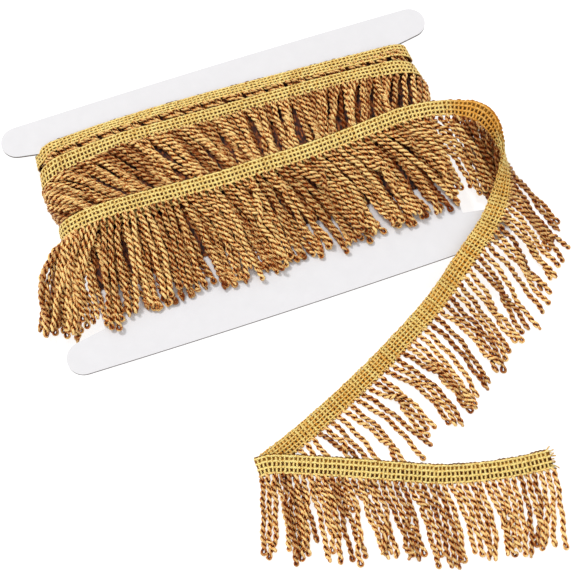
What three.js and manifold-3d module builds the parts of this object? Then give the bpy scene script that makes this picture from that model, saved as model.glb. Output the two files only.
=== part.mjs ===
// Cord fringe trim wound on a flat card, with a loose end.
// Millimetres, +Z up. X runs along the card's long side and Y across it.
// The origin is the middle of the flat underside on which the wound pack rests.

import * as THREE from 'three';
import { mergeVertices } from 'three/addons/utils/BufferGeometryUtils.js';
import Module from 'manifold-3d';

const wasm = await Module();
wasm.setup();

// Driving sizes
const CARD = {
  length: 250, width: 150.5, thickness: 1.5, underside: 13,
  tipRadius: 9.1, edgeBow: 1.2, barSlope: 10, neck: 101,
};
const TAPE = { width: 10.5, thickness: 1.6 };
const CORD = { width: 2.5, bendTolerance: 0.35 };
const STRIP = { gap: 0.3, width: 2 };
const FLOOR_CORD = CORD.width / 2;

// How much further from a steep tape's edge its cords are rooted
const STEEP_SHIFT = 0.4;

// Wound form
const PACK = {
  bendCentre: 98, tunnelGap: 0.4, sagPower: 3,
  frontCords: 47, bendColumns: 12, backColumns: 12, ridge: 0.55,
};

// One row for each level of the wound form, from the card's far bar to its near bar.
// y: place across the card.   front, back: height of its upper and lower faces.
// reach: how far its bends stand out.   sagLeft, sagRight: how far the row drops at the bends.
// ridge: share of the cord relief.   slide: distance over which the cords have slanted.
const PACK_ROWS = [
  { y: 58.0, front: 17.2, back: 4.5, reach: 105.4, sagLeft: 4, sagRight: 5, ridge: 0, slide: 0 },
  { y: 57.2, front: 18.8, back: 1.2, reach: 107.4, sagLeft: 4, sagRight: 5, ridge: 0, slide: 0 },
  { y: 51.8, front: 19.2, back: 0, reach: 108.4, sagLeft: 4, sagRight: 6, ridge: 0, slide: 0 },
  { y: 51.2, front: 18.2, back: 0, reach: 107.8, sagLeft: 4, sagRight: 6, ridge: 0, slide: 0 },
  { y: 50.0, front: 18.4, back: 0, reach: 108.0, sagLeft: 6, sagRight: 8, ridge: 0, slide: 0 },
  { y: 49.5, front: 20.4, back: 0, reach: 109.6, sagLeft: 6, sagRight: 9, ridge: 0, slide: 0 },
  { y: 39.8, front: 21.2, back: 0, reach: 110.6, sagLeft: 3, sagRight: 6, ridge: 0, slide: 0 },
  { y: 39.2, front: 20.6, back: 0, reach: 110.0, sagLeft: 3, sagRight: 6, ridge: 1, slide: 0 },
  { y: 30.0, front: 21.6, back: 0, reach: 110.6, sagLeft: 2, sagRight: 3, ridge: 1, slide: 9 },
  { y: 20.0, front: 22.4, back: 0, reach: 110.2, sagLeft: 1, sagRight: 1, ridge: 1, slide: 19 },
  { y: 11.5, front: 22.8, back: 0, reach: 108.4, sagLeft: 0, sagRight: 0, ridge: 1, slide: 27 },
  { y: 9.5, front: 23.2, back: 0, reach: 106.8, sagLeft: 0, sagRight: 0, ridge: 0, slide: 27 },
  { y: -7.0, front: 22.9, back: 0, reach: 105.6, sagLeft: 0, sagRight: 0, ridge: 0, slide: 27 },
  { y: -24.0, front: 21.0, back: 0, reach: 104.8, sagLeft: 0, sagRight: 0, ridge: 0, slide: 27 },
  { y: -35.0, front: 18.0, back: 0.8, reach: 103.6, sagLeft: 0, sagRight: 0, ridge: 0, slide: 27 },
  { y: -37.0, front: 17.0, back: 3, reach: 102.8, sagLeft: 0, sagRight: 0, ridge: 0, slide: 27 },
];

// Slant of the wound cords along the card, in degrees from square to the header.
const PACK_SLANT = [
  { x: -98, slant: 0 }, { x: -82, slant: 27 }, { x: -30, slant: 20 },
  { x: 10, slant: -4 }, { x: 60, slant: -18 }, { x: 98, slant: 0 },
];

// Middle line of the outer header tape, from the pack's left bend to its cut end.
// x, y, z: the middle of the tape.   wx, wy, wz: the way across it, towards its cords.
const TAPE_ROWS = [
  { name: 'underLeft', x: -106.3, y: 3.0, z: 3.4, wx: 0.02, wy: -1, wz: 0 },
  { name: 'bendLeft', x: -108.5, y: 3.0, z: 11.6, wx: -0.02, wy: -1, wz: 0 },
  { name: 'bendUpper', x: -105.9, y: 3.4, z: 20.6, wx: -0.02, wy: -1, wz: 0 },
  { name: 'frontLeft', x: -98, y: 4.4, z: 24.7, wx: -0.02, wy: -1, wz: 0 },
  { name: 'front1', x: -84.7, y: 5.6, z: 25.0, wx: 0, wy: -1, wz: 0 },
  { name: 'front2', x: -62.5, y: 5.3, z: 25.0, wx: 0.01, wy: -1, wz: 0 },
  { name: 'front3', x: -40.4, y: 4.1, z: 25.1, wx: 0.02, wy: -1, wz: 0 },
  { name: 'front4', x: -18.2, y: 3.0, z: 25.1, wx: 0.01, wy: -1, wz: 0 },
  { name: 'front5', x: 4.7, y: 3.3, z: 25.1, wx: 0, wy: -1, wz: 0 },
  { name: 'front6', x: 27.5, y: 3.2, z: 25.1, wx: -0.01, wy: -1, wz: 0 },
  { name: 'front7', x: 51, y: 4.3, z: 25.1, wx: -0.03, wy: -1, wz: 0 },
  { name: 'front8', x: 74, y: 6.0, z: 25.1, wx: -0.03, wy: -1, wz: 0 },
  { name: 'front9', x: 88, y: 6.9, z: 25.2, wx: -0.02, wy: -1, wz: 0 },
  { name: 'front10', x: 103.9, y: 5.2, z: 25.3, wx: -0.16, wy: -0.98, wz: -0.02 },
  { name: 'curve1', x: 114.6, y: 2.5, z: 25.3, wx: -0.3, wy: -0.95, wz: -0.05 },
  { name: 'curve2', x: 121, y: -0.2, z: 25.2, wx: -0.42, wy: -0.89, wz: -0.16 },
  { name: 'curve3', x: 126.6, y: -3.4, z: 25.0, wx: -0.55, wy: -0.76, wz: -0.35 },
  { name: 'curve4', x: 130.8, y: -7.9, z: 24.4, wx: -0.62, wy: -0.48, wz: -0.62 },
  { name: 'curve5', x: 133.3, y: -13.8, z: 23.3, wx: -0.46, wy: -0.22, wz: -0.86 },
  { name: 'curve6', x: 134.2, y: -20.2, z: 22.3, wx: -0.22, wy: -0.06, wz: -0.97 },
  { name: 'curve7', x: 134.1, y: -26.6, z: 21.2, wx: 0.02, wy: 0.02, wz: -1 },
  { name: 'curve8', x: 133.0, y: -32.6, z: 20.2, wx: 0.32, wy: 0.02, wz: -0.95 },
  { name: 'curve9', x: 130.9, y: -38.8, z: 19.3, wx: 0.6, wy: -0.08, wz: -0.8 },
  { name: 'curve10', x: 127.8, y: -45.2, z: 18.7, wx: 0.76, wy: -0.2, wz: -0.62 },
  { name: 'curve11', x: 123.4, y: -52.2, z: 18.3, wx: 0.84, wy: -0.4, wz: -0.36 },
  { name: 'overCard1', x: 117.7, y: -59.2, z: 18.1, wx: 0.8, wy: -0.58, wz: -0.12 },
  { name: 'overCard2', x: 111.0, y: -66.0, z: 18.1, wx: 0.69, wy: -0.72, wz: 0 },
  { name: 'overCard3', x: 102.9, y: -72.4, z: 18.2, wx: 0.6, wy: -0.8, wz: 0 },
  { name: 'overCard4', x: 95.6, y: -77.8, z: 18.1, wx: 0.55, wy: -0.83, wz: 0 },
  { name: 'slope1', x: 88.0, y: -83.2, z: 17.0, wx: 0.51, wy: -0.86, wz: 0 },
  { name: 'slope2', x: 81.2, y: -87.8, z: 12.8, wx: 0.49, wy: -0.87, wz: 0 },
  { name: 'slope3', x: 74.8, y: -91.8, z: 7.2, wx: 0.47, wy: -0.88, wz: 0 },
  { name: 'slope4', x: 68.0, y: -95.7, z: 2.6, wx: 0.46, wy: -0.89, wz: 0 },
  { name: 'diagonal1', x: 60.2, y: -100.0, z: 0.9, wx: 0.45, wy: -0.89, wz: 0 },
  { name: 'diagonal2', x: 48.4, y: -106.5, z: 0.8, wx: 0.46, wy: -0.89, wz: 0 },
  { name: 'diagonal3', x: 24.0, y: -119.2, z: 0.8, wx: 0.42, wy: -0.91, wz: 0 },
  { name: 'diagonal4', x: -10.1, y: -134.6, z: 0.8, wx: 0.38, wy: -0.92, wz: 0 },
  { name: 'diagonal5', x: -30.0, y: -142.4, z: 0.8, wx: 0.3, wy: -0.95, wz: 0 },
  { name: 'foldUnder', x: -44.6, y: -147.4, z: 0.8, wx: 0.06, wy: -1, wz: 0 },
  { name: 'foldCrease', x: -48.6, y: -148.4, z: 2.9, wx: 0, wy: -1, wz: 0 },
  { name: 'foldOver', x: -44.4, y: -148.9, z: 4.8, wx: -0.08, wy: -1, wz: 0 },
  { name: 'run1', x: -38, y: -150.6, z: 4.8, wx: -0.26, wy: -0.97, wz: 0 },
  { name: 'run2', x: -27.6, y: -154.7, z: 4.7, wx: -0.35, wy: -0.94, wz: 0 },
  { name: 'run3', x: -8.8, y: -162.5, z: 4.6, wx: -0.38, wy: -0.92, wz: 0 },
  { name: 'run4', x: 10.2, y: -170.7, z: 4.6, wx: -0.38, wy: -0.92, wz: 0 },
  { name: 'run5', x: 20.0, y: -174.9, z: 4.2, wx: -0.38, wy: -0.92, wz: 0 },
  { name: 'run6', x: 29.6, y: -178.7, z: 2.7, wx: -0.36, wy: -0.93, wz: 0 },
  { name: 'run7', x: 39.2, y: -182.2, z: 1.1, wx: -0.32, wy: -0.95, wz: 0 },
  { name: 'run8', x: 59, y: -187.7, z: 0.8, wx: -0.24, wy: -0.97, wz: 0 },
  { name: 'run9', x: 78, y: -191.4, z: 0.8, wx: -0.16, wy: -0.99, wz: 0 },
  { name: 'cutEnd', x: 96.4, y: -193.4, z: 0.8, wx: -0.12, wy: -0.99, wz: 0 },
];

// Lie of the cords of each fringe, one row for a place along its strip, from 0 to 1.
// turn: degrees from -Y towards +X.   reach: length in plan.   tip: height of the cord's end.
// hold: share of the reach before the cord falls.   level: share after which it lies level.
const FRINGES = {
  fan_fringe: {
    from: 'underLeft', to: 'frontLeft', skip: 3, cords: 11, lift: 0, rows: [
      { at: 0, turn: -26, reach: 42, tip: FLOOR_CORD, hold: 0.1, level: 0.6 },
      { at: 0.25, turn: -29, reach: 44, tip: 3.4, hold: 0.2, level: 1 },
      { at: 0.5, turn: -27, reach: 46, tip: 6.4, hold: 0.2, level: 1 },
      { at: 0.75, turn: -23, reach: 48, tip: 11, hold: 0.2, level: 1 },
      { at: 1, turn: -14, reach: 50, tip: 17, hold: 0.3, level: 1 },
    ],
  },
  pack_fringe: {
    from: 'frontLeft', to: 'curve1', skip: 2, cords: 51, lift: 0.45, rows: [
      { at: 0, turn: -8, reach: 50, tip: 19.2, hold: 0.25, level: 1 },
      { at: 0.1, turn: 2, reach: 49, tip: 19.2, hold: 0.25, level: 1 },
      { at: 0.25, turn: 11, reach: 49, tip: 19.2, hold: 0.25, level: 1 },
      { at: 0.6, turn: 15, reach: 50, tip: 19.2, hold: 0.25, level: 1 },
      { at: 0.9, turn: 17, reach: 51, tip: 19.2, hold: 0.25, level: 1 },
      { at: 1, turn: 16, reach: 41, tip: 18, hold: 0.3, level: 1 },
    ],
  },
  curve_fringe: {
    from: 'curve1', to: 'curve8', skip: 2, cords: 9, lift: 0, rows: [
      { at: 0, turn: 0, reach: 22, tip: FLOOR_CORD, hold: 0, level: 0.85 },
      { at: 0.3, turn: -5, reach: 22, tip: FLOOR_CORD, hold: 0, level: 0.85 },
      { at: 0.55, turn: -13, reach: 21, tip: FLOOR_CORD, hold: 0, level: 0.85 },
      { at: 0.8, turn: -18, reach: 19, tip: FLOOR_CORD, hold: 0, level: 0.85 },
      { at: 1, turn: -21, reach: 18, tip: FLOOR_CORD, hold: 0, level: 0.85 },
    ],
  },
  diagonal_fringe: {
    from: 'curve8', to: 'foldUnder', skip: 3, cords: 50, lift: 0.45, rows: [
      { at: 0, turn: 14, reach: 40, tip: FLOOR_CORD, hold: 0, level: 0.7 },
      { at: 0.1, turn: 32, reach: 42, tip: FLOOR_CORD, hold: 0.25, level: 0.8 },
      { at: 0.18, turn: 29, reach: 42, tip: FLOOR_CORD, hold: 0.3, level: 0.8 },
      { at: 0.28, turn: 25, reach: 42, tip: FLOOR_CORD, hold: 0.2, level: 0.8 },
      { at: 0.38, turn: 22, reach: 44, tip: FLOOR_CORD, hold: 0, level: 0.6 },
      { at: 0.5, turn: 17, reach: 46, tip: FLOOR_CORD, hold: 0, level: 0.5 },
      { at: 0.62, turn: 14, reach: 45, tip: FLOOR_CORD, hold: 0, level: 0.5 },
      { at: 0.75, turn: 13, reach: 43, tip: FLOOR_CORD, hold: 0, level: 0.5 },
      { at: 1, turn: 10, reach: 36, tip: FLOOR_CORD, hold: 0, level: 0.5 },
    ],
  },
  front_fringe: {
    from: 'foldOver', to: 'cutEnd', skip: 1.5, cords: 37, lift: 0.45, rows: [
      { at: 0, turn: -20, reach: 44, tip: FLOOR_CORD, hold: 0.3, level: 0.85 },
      { at: 0.12, turn: -20, reach: 45, tip: FLOOR_CORD, hold: 0.6, level: 0.95 },
      { at: 0.4, turn: -20, reach: 46, tip: FLOOR_CORD, hold: 0.5, level: 0.85 },
      { at: 0.6, turn: -18, reach: 46, tip: FLOOR_CORD, hold: 0.1, level: 0.6 },
      { at: 0.9, turn: -15, reach: 43, tip: FLOOR_CORD, hold: 0, level: 0.5 },
      { at: 1, turn: -11, reach: 43, tip: FLOOR_CORD, hold: 0, level: 0.5 },
    ],
  },
};

// Ends of the inner turns along the pack's near side, above and below the card.
const INNER_ENDS = {
  inner_ends_above: {
    y: -37.6, low: 15, high: 17.8, left: -98, right: 100, cords: 43,
    rows: [{ height: 16.4, tip: 16.1, reach: 15 }],
  },
  inner_ends_below: {
    y: -37.6, low: 1.6, high: 11.4, left: -98, right: 104, cords: 44,
    rows: [{ height: 3.2, tip: FLOOR_CORD, reach: 15 }, { height: 9.8, tip: 9.2, reach: 13 }],
  },
};

const FINISHES = {
  card: { color: 0xf2f0f4, roughness: 0.75, metalness: 0 },
  header: { color: 0xd9ae55, roughness: 0.55, metalness: 0 },
  cord: { color: 0xb87a38, roughness: 0.5, metalness: 0 },
};

const UP = new THREE.Vector3(0, 0, 1);
const radians = THREE.MathUtils.degToRad;

// Value of a named column at a place along a table, between its two nearest rows.
function column(rows, key, value, name) {
  const last = rows.length - 1;
  const next = rows.findIndex((row) => row[key] > value);
  if (next === 0) return rows[0][name];
  if (next < 0) return rows[last][name];
  const [low, high] = [rows[next - 1], rows[next]];
  return THREE.MathUtils.mapLinear(value, low[key], high[key], low[name], high[name]);
}

// Small steady unevenness from cord to cord, between -1 and 1.
function uneven(index, seed = 0) {
  return (Math.sin(index * 2.39 + seed) + Math.sin(index * 5.17 + 2 * seed)) / 2;
}

// Cords lean together in threes, as limp cords do, between -1 and 1.
function clump(index) {
  return 1 - (index % 3);
}

function meshGeometry(points, faces) {
  const geometry = new THREE.BufferGeometry();
  const flat = points.flatMap((point) => [point.x, point.y, point.z]);
  geometry.setAttribute('position', new THREE.Float32BufferAttribute(flat, 3));
  geometry.setIndex(faces.flat());
  return geometry;
}

// Closed solid through convex sections that all have the same number of corners.
// Corners run anticlockwise as seen from ahead, looking back along the solid.
function loft(sections) {
  const corners = sections[0].length;
  const faces = [];
  for (let k = 0; k < sections.length - 1; k += 1) {
    for (let i = 0; i < corners; i += 1) {
      const a = k * corners + i;
      const b = k * corners + ((i + 1) % corners);
      faces.push([a, b, b + corners], [a, b + corners, a + corners]);
    }
  }
  const end = (sections.length - 1) * corners;
  for (let i = 1; i < corners - 1; i += 1) {
    faces.push([0, i + 1, i], [end, end + i, end + i + 1]);
  }
  return meshGeometry(sections.flat(), faces);
}

// Rectangle about a centre, spanned by half-widths along two directions.
function rectangle(centre, side, up, halfWidth, halfHeight) {
  return [[-1, -1], [1, -1], [1, 1], [-1, 1]].map(([s, u]) => centre.clone()
    .addScaledVector(side, s * halfWidth)
    .addScaledVector(up, u * halfHeight));
}

function toSolid(geometry) {
  geometry.deleteAttribute('normal');
  geometry.deleteAttribute('uv');
  const merged = mergeVertices(geometry, 1e-5);
  return new wasm.Manifold(new wasm.Mesh({
    numProp: 3,
    vertProperties: new Float32Array(merged.attributes.position.array),
    triVerts: new Uint32Array(merged.index.array),
  }));
}

function toGeometry(solid) {
  const { vertProperties, triVerts, numProp } = solid.getMesh();
  const geometry = new THREE.BufferGeometry();
  const positions = new Float32Array((vertProperties.length / numProp) * 3);
  for (let i = 0; i < positions.length / 3; i += 1) {
    positions.set(vertProperties.subarray(i * numProp, i * numProp + 3), i * 3);
  }
  geometry.setAttribute('position', new THREE.BufferAttribute(positions, 3));
  geometry.setIndex(new THREE.BufferAttribute(triVerts, 1));
  return geometry;
}

// Header tape as a ribbon: a smooth middle line and a smooth way across it.
class Ribbon {
  constructor(rows) {
    this.rows = rows;
    const middle = rows.map(({ x, y, z }) => new THREE.Vector3(x, y, z));
    const across = rows.map(({ wx, wy, wz }) => new THREE.Vector3(wx, wy, wz).normalize());
    this.middle = new THREE.CatmullRomCurve3(middle);
    this.across = new THREE.CatmullRomCurve3(across);
  }

  place(name) {
    return this.rows.findIndex((row) => row.name === name) / (this.rows.length - 1);
  }

  // Middle, way across and way out of the face at a place from 0 to 1.
  frame(t) {
    const middle = this.middle.getPoint(t);
    middle.z = Math.max(middle.z, TAPE.thickness / 2);
    const forward = this.middle.getTangent(t);
    const across = this.across.getPoint(t).normalize();
    const out = forward.clone().cross(across);
    const stretch = 1 / Math.max(out.length(), 0.5);
    return { middle, across, out: out.normalize(), stretch };
  }

  // Places from one named row to another, with a fixed number to each row.
  places(from, to, perRow) {
    const rowStep = 1 / (this.rows.length - 1);
    const [start, end] = [this.place(from), this.place(to)];
    const count = Math.round((perRow * (end - start)) / rowStep);
    return Array.from({ length: count + 1 }, (_, i) => start + ((end - start) * i) / count);
  }

  // Centre of the cord strip, set just off the tape's edge.
  stripCentre(t) {
    const { middle, across, stretch } = this.frame(t);
    const offset = TAPE.width / 2 + STRIP.gap + STRIP.width / 2;
    return middle.addScaledVector(across, offset * stretch);
  }
}

const ribbon = new Ribbon(TAPE_ROWS);

function makeCard() {
  const { length, width, thickness, underside, tipRadius, edgeBow, barSlope, neck } = CARD;
  const [tipX, tipY] = [length / 2 - tipRadius, width / 2 - tipRadius];
  const slope = radians(barSlope);
  const innerX = tipX + tipRadius * Math.sin(slope);
  const innerY = tipY - tipRadius * Math.cos(slope);
  const shoulder = innerY - (innerX - neck) * Math.tan(slope);
  const quarter = Math.PI / 2;
  const outline = new THREE.Shape();
  outline.moveTo(-tipX, -width / 2);
  outline.quadraticCurveTo(0, -width / 2 - 2 * edgeBow, tipX, -width / 2);
  outline.absarc(tipX, -tipY, tipRadius, -quarter, quarter - slope, false);
  outline.lineTo(neck, -shoulder);
  outline.lineTo(neck, shoulder);
  outline.absarc(tipX, tipY, tipRadius, slope - quarter, quarter, false);
  outline.quadraticCurveTo(0, width / 2 + 2 * edgeBow, -tipX, width / 2);
  outline.absarc(-tipX, tipY, tipRadius, quarter, 3 * quarter - slope, false);
  outline.lineTo(-neck, shoulder);
  outline.lineTo(-neck, -shoulder);
  outline.absarc(-tipX, -tipY, tipRadius, quarter + slope, 3 * quarter, false);
  const geometry = new THREE.ExtrudeGeometry(outline, {
    depth: thickness, bevelEnabled: false, curveSegments: 9,
  });
  return geometry.translate(0, 0, underside);
}

// Columns round the wound form: the front with two for each cord, a bend, the back, a bend.
function packColumns() {
  const { bendCentre, frontCords, bendColumns, backColumns } = PACK;
  const columns = [];
  const frontCount = frontCords * 2;
  for (let i = 0; i < frontCount; i += 1) {
    const x = THREE.MathUtils.lerp(-bendCentre, bendCentre, i / frontCount);
    columns.push({ x, angle: Math.PI / 2, front: true });
  }
  for (let i = 0; i < bendColumns; i += 1) {
    columns.push({ x: bendCentre, angle: Math.PI / 2 - (Math.PI * i) / bendColumns });
  }
  for (let i = 0; i < backColumns; i += 1) {
    const x = THREE.MathUtils.lerp(bendCentre, -bendCentre, i / backColumns);
    columns.push({ x, angle: -Math.PI / 2, back: true });
  }
  for (let i = 0; i < bendColumns; i += 1) {
    columns.push({ x: -bendCentre, angle: -Math.PI / 2 - (Math.PI * i) / bendColumns });
  }
  return columns;
}

// Point on the wound form's outside for one column and one row.
function packPoint(columnData, index, row) {
  const { bendCentre, sagPower, ridge } = PACK;
  const bulge = row.reach - bendCentre;
  const half = (row.front - row.back) / 2;
  const relief = columnData.back ? 0 : ridge * row.ridge * (index % 2 ? 1 : -1);
  const x = columnData.x + (bulge + relief) * Math.cos(columnData.angle);
  const z = (row.front + row.back) / 2 + (half + relief) * Math.sin(columnData.angle);
  const slant = columnData.front ? column(PACK_SLANT, 'x', columnData.x, 'slant') : 0;
  const sag = (x < 0 ? row.sagLeft : row.sagRight) * (Math.abs(x) / bendCentre) ** sagPower;
  const slid = x + row.slide * Math.tan(radians(slant));
  return new THREE.Vector3(slid, row.y - Math.min(sag, row.sagLeft + row.sagRight), Math.max(z, 0));
}

// Wound form: a closed sleeve round the card's neck, with its header bands and cord ridges.
function makeWoundPack() {
  const columns = packColumns();
  const { neck, underside, thickness } = CARD;
  const gap = PACK.tunnelGap;
  const tunnelPoint = (data, row) => {
    const side = Math.sign(data.x) * (neck + gap);
    const x = data.front || data.back ? THREE.MathUtils.clamp(data.x, -neck, neck) : side;
    const above = Math.sin(data.angle) > -1e-6;
    const z = above ? underside + thickness + gap : underside - gap;
    return new THREE.Vector3(x, packPoint(data, 0, row).y, z);
  };
  const rings = PACK_ROWS.map((row) => columns.map((data, i) => packPoint(data, i, row)));
  rings.push(columns.map((data) => tunnelPoint(data, PACK_ROWS[PACK_ROWS.length - 1])));
  rings.push(columns.map((data) => tunnelPoint(data, PACK_ROWS[0])));
  const faces = [];
  rings.forEach((_, k) => {
    const [here, next] = [k * columns.length, ((k + 1) % rings.length) * columns.length];
    columns.forEach((__, i) => {
      const j = (i + 1) % columns.length;
      faces.push([here + i, next + j, here + j], [here + i, next + i, next + j]);
    });
  });
  return meshGeometry(rings.flat(), faces);
}

function makeHeaderTape() {
  const places = ribbon.places('underLeft', 'cutEnd', 2);
  return loft(places.map((t) => {
    const { middle, across, out, stretch } = ribbon.frame(t);
    return rectangle(middle, across, out, (TAPE.width / 2) * stretch, TAPE.thickness / 2);
  }));
}

// The ends of a path and those of its stations at which it really bends.
function keepBends(stations) {
  const kept = [stations[0]];
  for (let i = 1; i < stations.length - 1; i += 1) {
    const chord = new THREE.Line3(kept[kept.length - 1], stations[i + 1]);
    const onChord = chord.closestPointToPoint(stations[i], true, new THREE.Vector3());
    if (onChord.distanceTo(stations[i]) > CORD.bendTolerance) kept.push(stations[i]);
  }
  return [...kept, stations[stations.length - 1]];
}

// One cord: it leaves its root, holds its height, falls, and may end level.
function cordGeometry(root, { turn, reach, tip, hold, level }) {
  const angle = radians(turn);
  const heading = new THREE.Vector3(Math.sin(angle), -Math.cos(angle), 0);
  const side = UP.clone().cross(heading);
  const stations = [0, hold, (hold + level) / 2, level, 1].map((share) => {
    const fall = THREE.MathUtils.smoothstep(share, hold, level);
    const eased = hold > 0 ? fall : Math.sin((Math.min(share / level, 1) * Math.PI) / 2);
    const point = root.clone().addScaledVector(heading, reach * share);
    point.z = THREE.MathUtils.lerp(root.z, tip, eased);
    return point;
  });
  const bends = keepBends(stations);
  return loft(bends.map((point, i) => {
    const before = bends[Math.max(i - 1, 0)];
    const after = bends[Math.min(i + 1, bends.length - 1)];
    const forward = after.clone().sub(before).normalize();
    const up = forward.cross(side).normalize();
    const lies = point.z <= FLOOR_CORD + 0.01 ? UP : up;
    return rectangle(point, side, lies, CORD.width / 2, CORD.width / 2);
  }));
}

// A strip just off the tape's edge with its cords fused on.
function makeFringe({ from, to, skip, cords, lift, rows }) {
  const reachedPlaces = ribbon.places(from, to, 2);
  const lengthAlong = [0];
  const centres = reachedPlaces.map((t) => ribbon.stripCentre(t));
  centres.forEach((point, i) => {
    if (i) lengthAlong.push(lengthAlong[i - 1] + point.distanceTo(centres[i - 1]));
  });
  const total = lengthAlong[lengthAlong.length - 1];
  const table = lengthAlong.map((along, i) => ({ along, t: reachedPlaces[i] }));
  const placeAt = (along) => column(table, 'along', along, 't');
  const [start, end] = [skip / 3, total - skip / 3];
  const between = table.filter(({ along }) => along > start + 1 && along < end - 1);
  const stripPlaces = [placeAt(start), ...between.map(({ t }) => t), placeAt(end)];
  const strip = loft(stripPlaces.map((t) => {
    const { across, out } = ribbon.frame(t);
    return rectangle(ribbon.stripCentre(t), across, out, STRIP.width / 2, TAPE.thickness / 2);
  }));
  let solid = toSolid(strip);
  for (let i = 0; i < cords; i += 1) {
    const share = i / (cords - 1);
    const place = placeAt(THREE.MathUtils.lerp(skip, total - skip, share));
    const { across } = ribbon.frame(place);
    const steep = Math.abs(across.z);
    const root = ribbon.stripCentre(place).addScaledVector(across, STEEP_SHIFT * steep);
    root.z += lift * (1 - steep);
    const lie = Object.fromEntries(['turn', 'reach', 'tip', 'hold', 'level']
      .map((name) => [name, column(rows, 'at', share, name)]));
    lie.turn += 0.9 * clump(i) + 0.4 * uneven(i);
    lie.reach += 1.6 * uneven(i, 1);
    solid = solid.add(toSolid(cordGeometry(root, lie)));
  }
  return toGeometry(solid);
}

// Ends of the inner turns: a bar along the pack's near side with its cord ends fused on.
function makeInnerEnds({ y, low, high, left, right, cords, rows }) {
  const middle = new THREE.Vector3((left + right) / 2, y - STRIP.width / 2, (low + high) / 2);
  const bar = new THREE.BoxGeometry(right - left + CORD.width, STRIP.width, high - low)
    .translate(...middle.toArray());
  let solid = toSolid(bar);
  for (let i = 0; i < cords; i += 1) {
    const { height, tip, reach } = rows[i % rows.length];
    const x = THREE.MathUtils.lerp(left, right, i / (cords - 1));
    const root = new THREE.Vector3(x, middle.y, height);
    const lie = {
      turn: 6 + 4 * uneven(i, 3), reach: reach + 1.6 * uneven(i, 2), tip, hold: 0, level: 1,
    };
    solid = solid.add(toSolid(cordGeometry(root, lie)));
  }
  return toGeometry(solid);
}

const part = new THREE.Group();

function addPart(name, geometry, finish) {
  const mesh = new THREE.Mesh(geometry, new THREE.MeshStandardMaterial(FINISHES[finish]));
  mesh.name = name;
  part.add(mesh);
}

addPart('winding_card', makeCard(), 'card');
addPart('wound_pack', makeWoundPack(), 'cord');
addPart('header_tape', makeHeaderTape(), 'header');
for (const [name, fringe] of Object.entries(FRINGES)) {
  addPart(name, makeFringe(fringe), 'cord');
}
for (const [name, ends] of Object.entries(INNER_ENDS)) {
  addPart(name, makeInnerEnds(ends), 'cord');
}

export default part;
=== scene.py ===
"""Cord fringe trim wound in turns on a white card, with its loose end laid out in front.

The frame is the part's own: X along the card's long side, Y across it and Z up from the
surface on which the wound turns rest. Tables are in millimetres and meshes in metres.
A cord is one doubled thread whose two plies are twisted round each other, so it ends in a
small loop. The header is a net of lengthwise chains, crosswise bars and edge loops on a band.
"""

import logging
import math
from dataclasses import dataclass
from enum import Enum
from typing import NamedTuple

import bpy
import numpy as np
from mathutils import Euler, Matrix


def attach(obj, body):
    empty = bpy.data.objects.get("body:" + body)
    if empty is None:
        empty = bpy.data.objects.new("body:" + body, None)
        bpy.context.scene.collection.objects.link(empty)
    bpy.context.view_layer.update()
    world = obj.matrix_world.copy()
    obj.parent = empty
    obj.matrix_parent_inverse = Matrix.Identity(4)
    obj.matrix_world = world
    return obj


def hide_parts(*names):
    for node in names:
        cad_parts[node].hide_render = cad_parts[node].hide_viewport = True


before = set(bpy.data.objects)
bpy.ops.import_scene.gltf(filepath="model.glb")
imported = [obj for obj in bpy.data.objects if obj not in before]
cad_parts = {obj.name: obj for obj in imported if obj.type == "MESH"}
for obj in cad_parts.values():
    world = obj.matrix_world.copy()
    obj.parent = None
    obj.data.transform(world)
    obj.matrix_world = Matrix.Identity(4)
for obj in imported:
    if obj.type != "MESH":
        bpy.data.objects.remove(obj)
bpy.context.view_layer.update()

log = logging.getLogger("cord_fringe_trim")

MM = 0.001
TINY = 1e-9
FULL_TURN = 2 * math.pi

# What rests is pressed no lower than this above the surface that it lies on
RESTING = 0.02 * MM

# Width of the header laid flat
HEADER_WIDTH = 10.5 * MM

# Distance between neighbouring cords along the header
CORD_PITCH = 4.15 * MM

# Height of a cord's tip that lies on the floor, in the tables' millimetres
FLOOR = 1.75


class Station(NamedTuple):
    """A row of the header's route: its middle, and its way across towards the cords."""

    name: str
    x: float
    y: float
    z: float
    wx: float
    wy: float
    wz: float


class Lie(NamedTuple):
    """How the cords lie at a place from 0 to 1 along their fringe.

    start and turn are a cord's headings at the header and at its tip, in degrees from -Y
    towards +X. reach is its length in plan and tip the height of its end. hold and level are
    the shares of its length at which it begins to fall and is down; it falls at once where
    hold is 0.
    """

    at: float
    start: float
    turn: float
    reach: float
    tip: float
    hold: float
    level: float


class WoundRow(NamedTuple):
    """A level of the wound form, from the card's near bar to its far bar.

    front, back and reach are its heights and its half length. The sags are how far a turn
    that starts at this row slips towards the near bar at the left and at the right bend.
    """

    y: float
    front: float
    back: float
    reach: float
    sag_left: float
    sag_right: float


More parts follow.
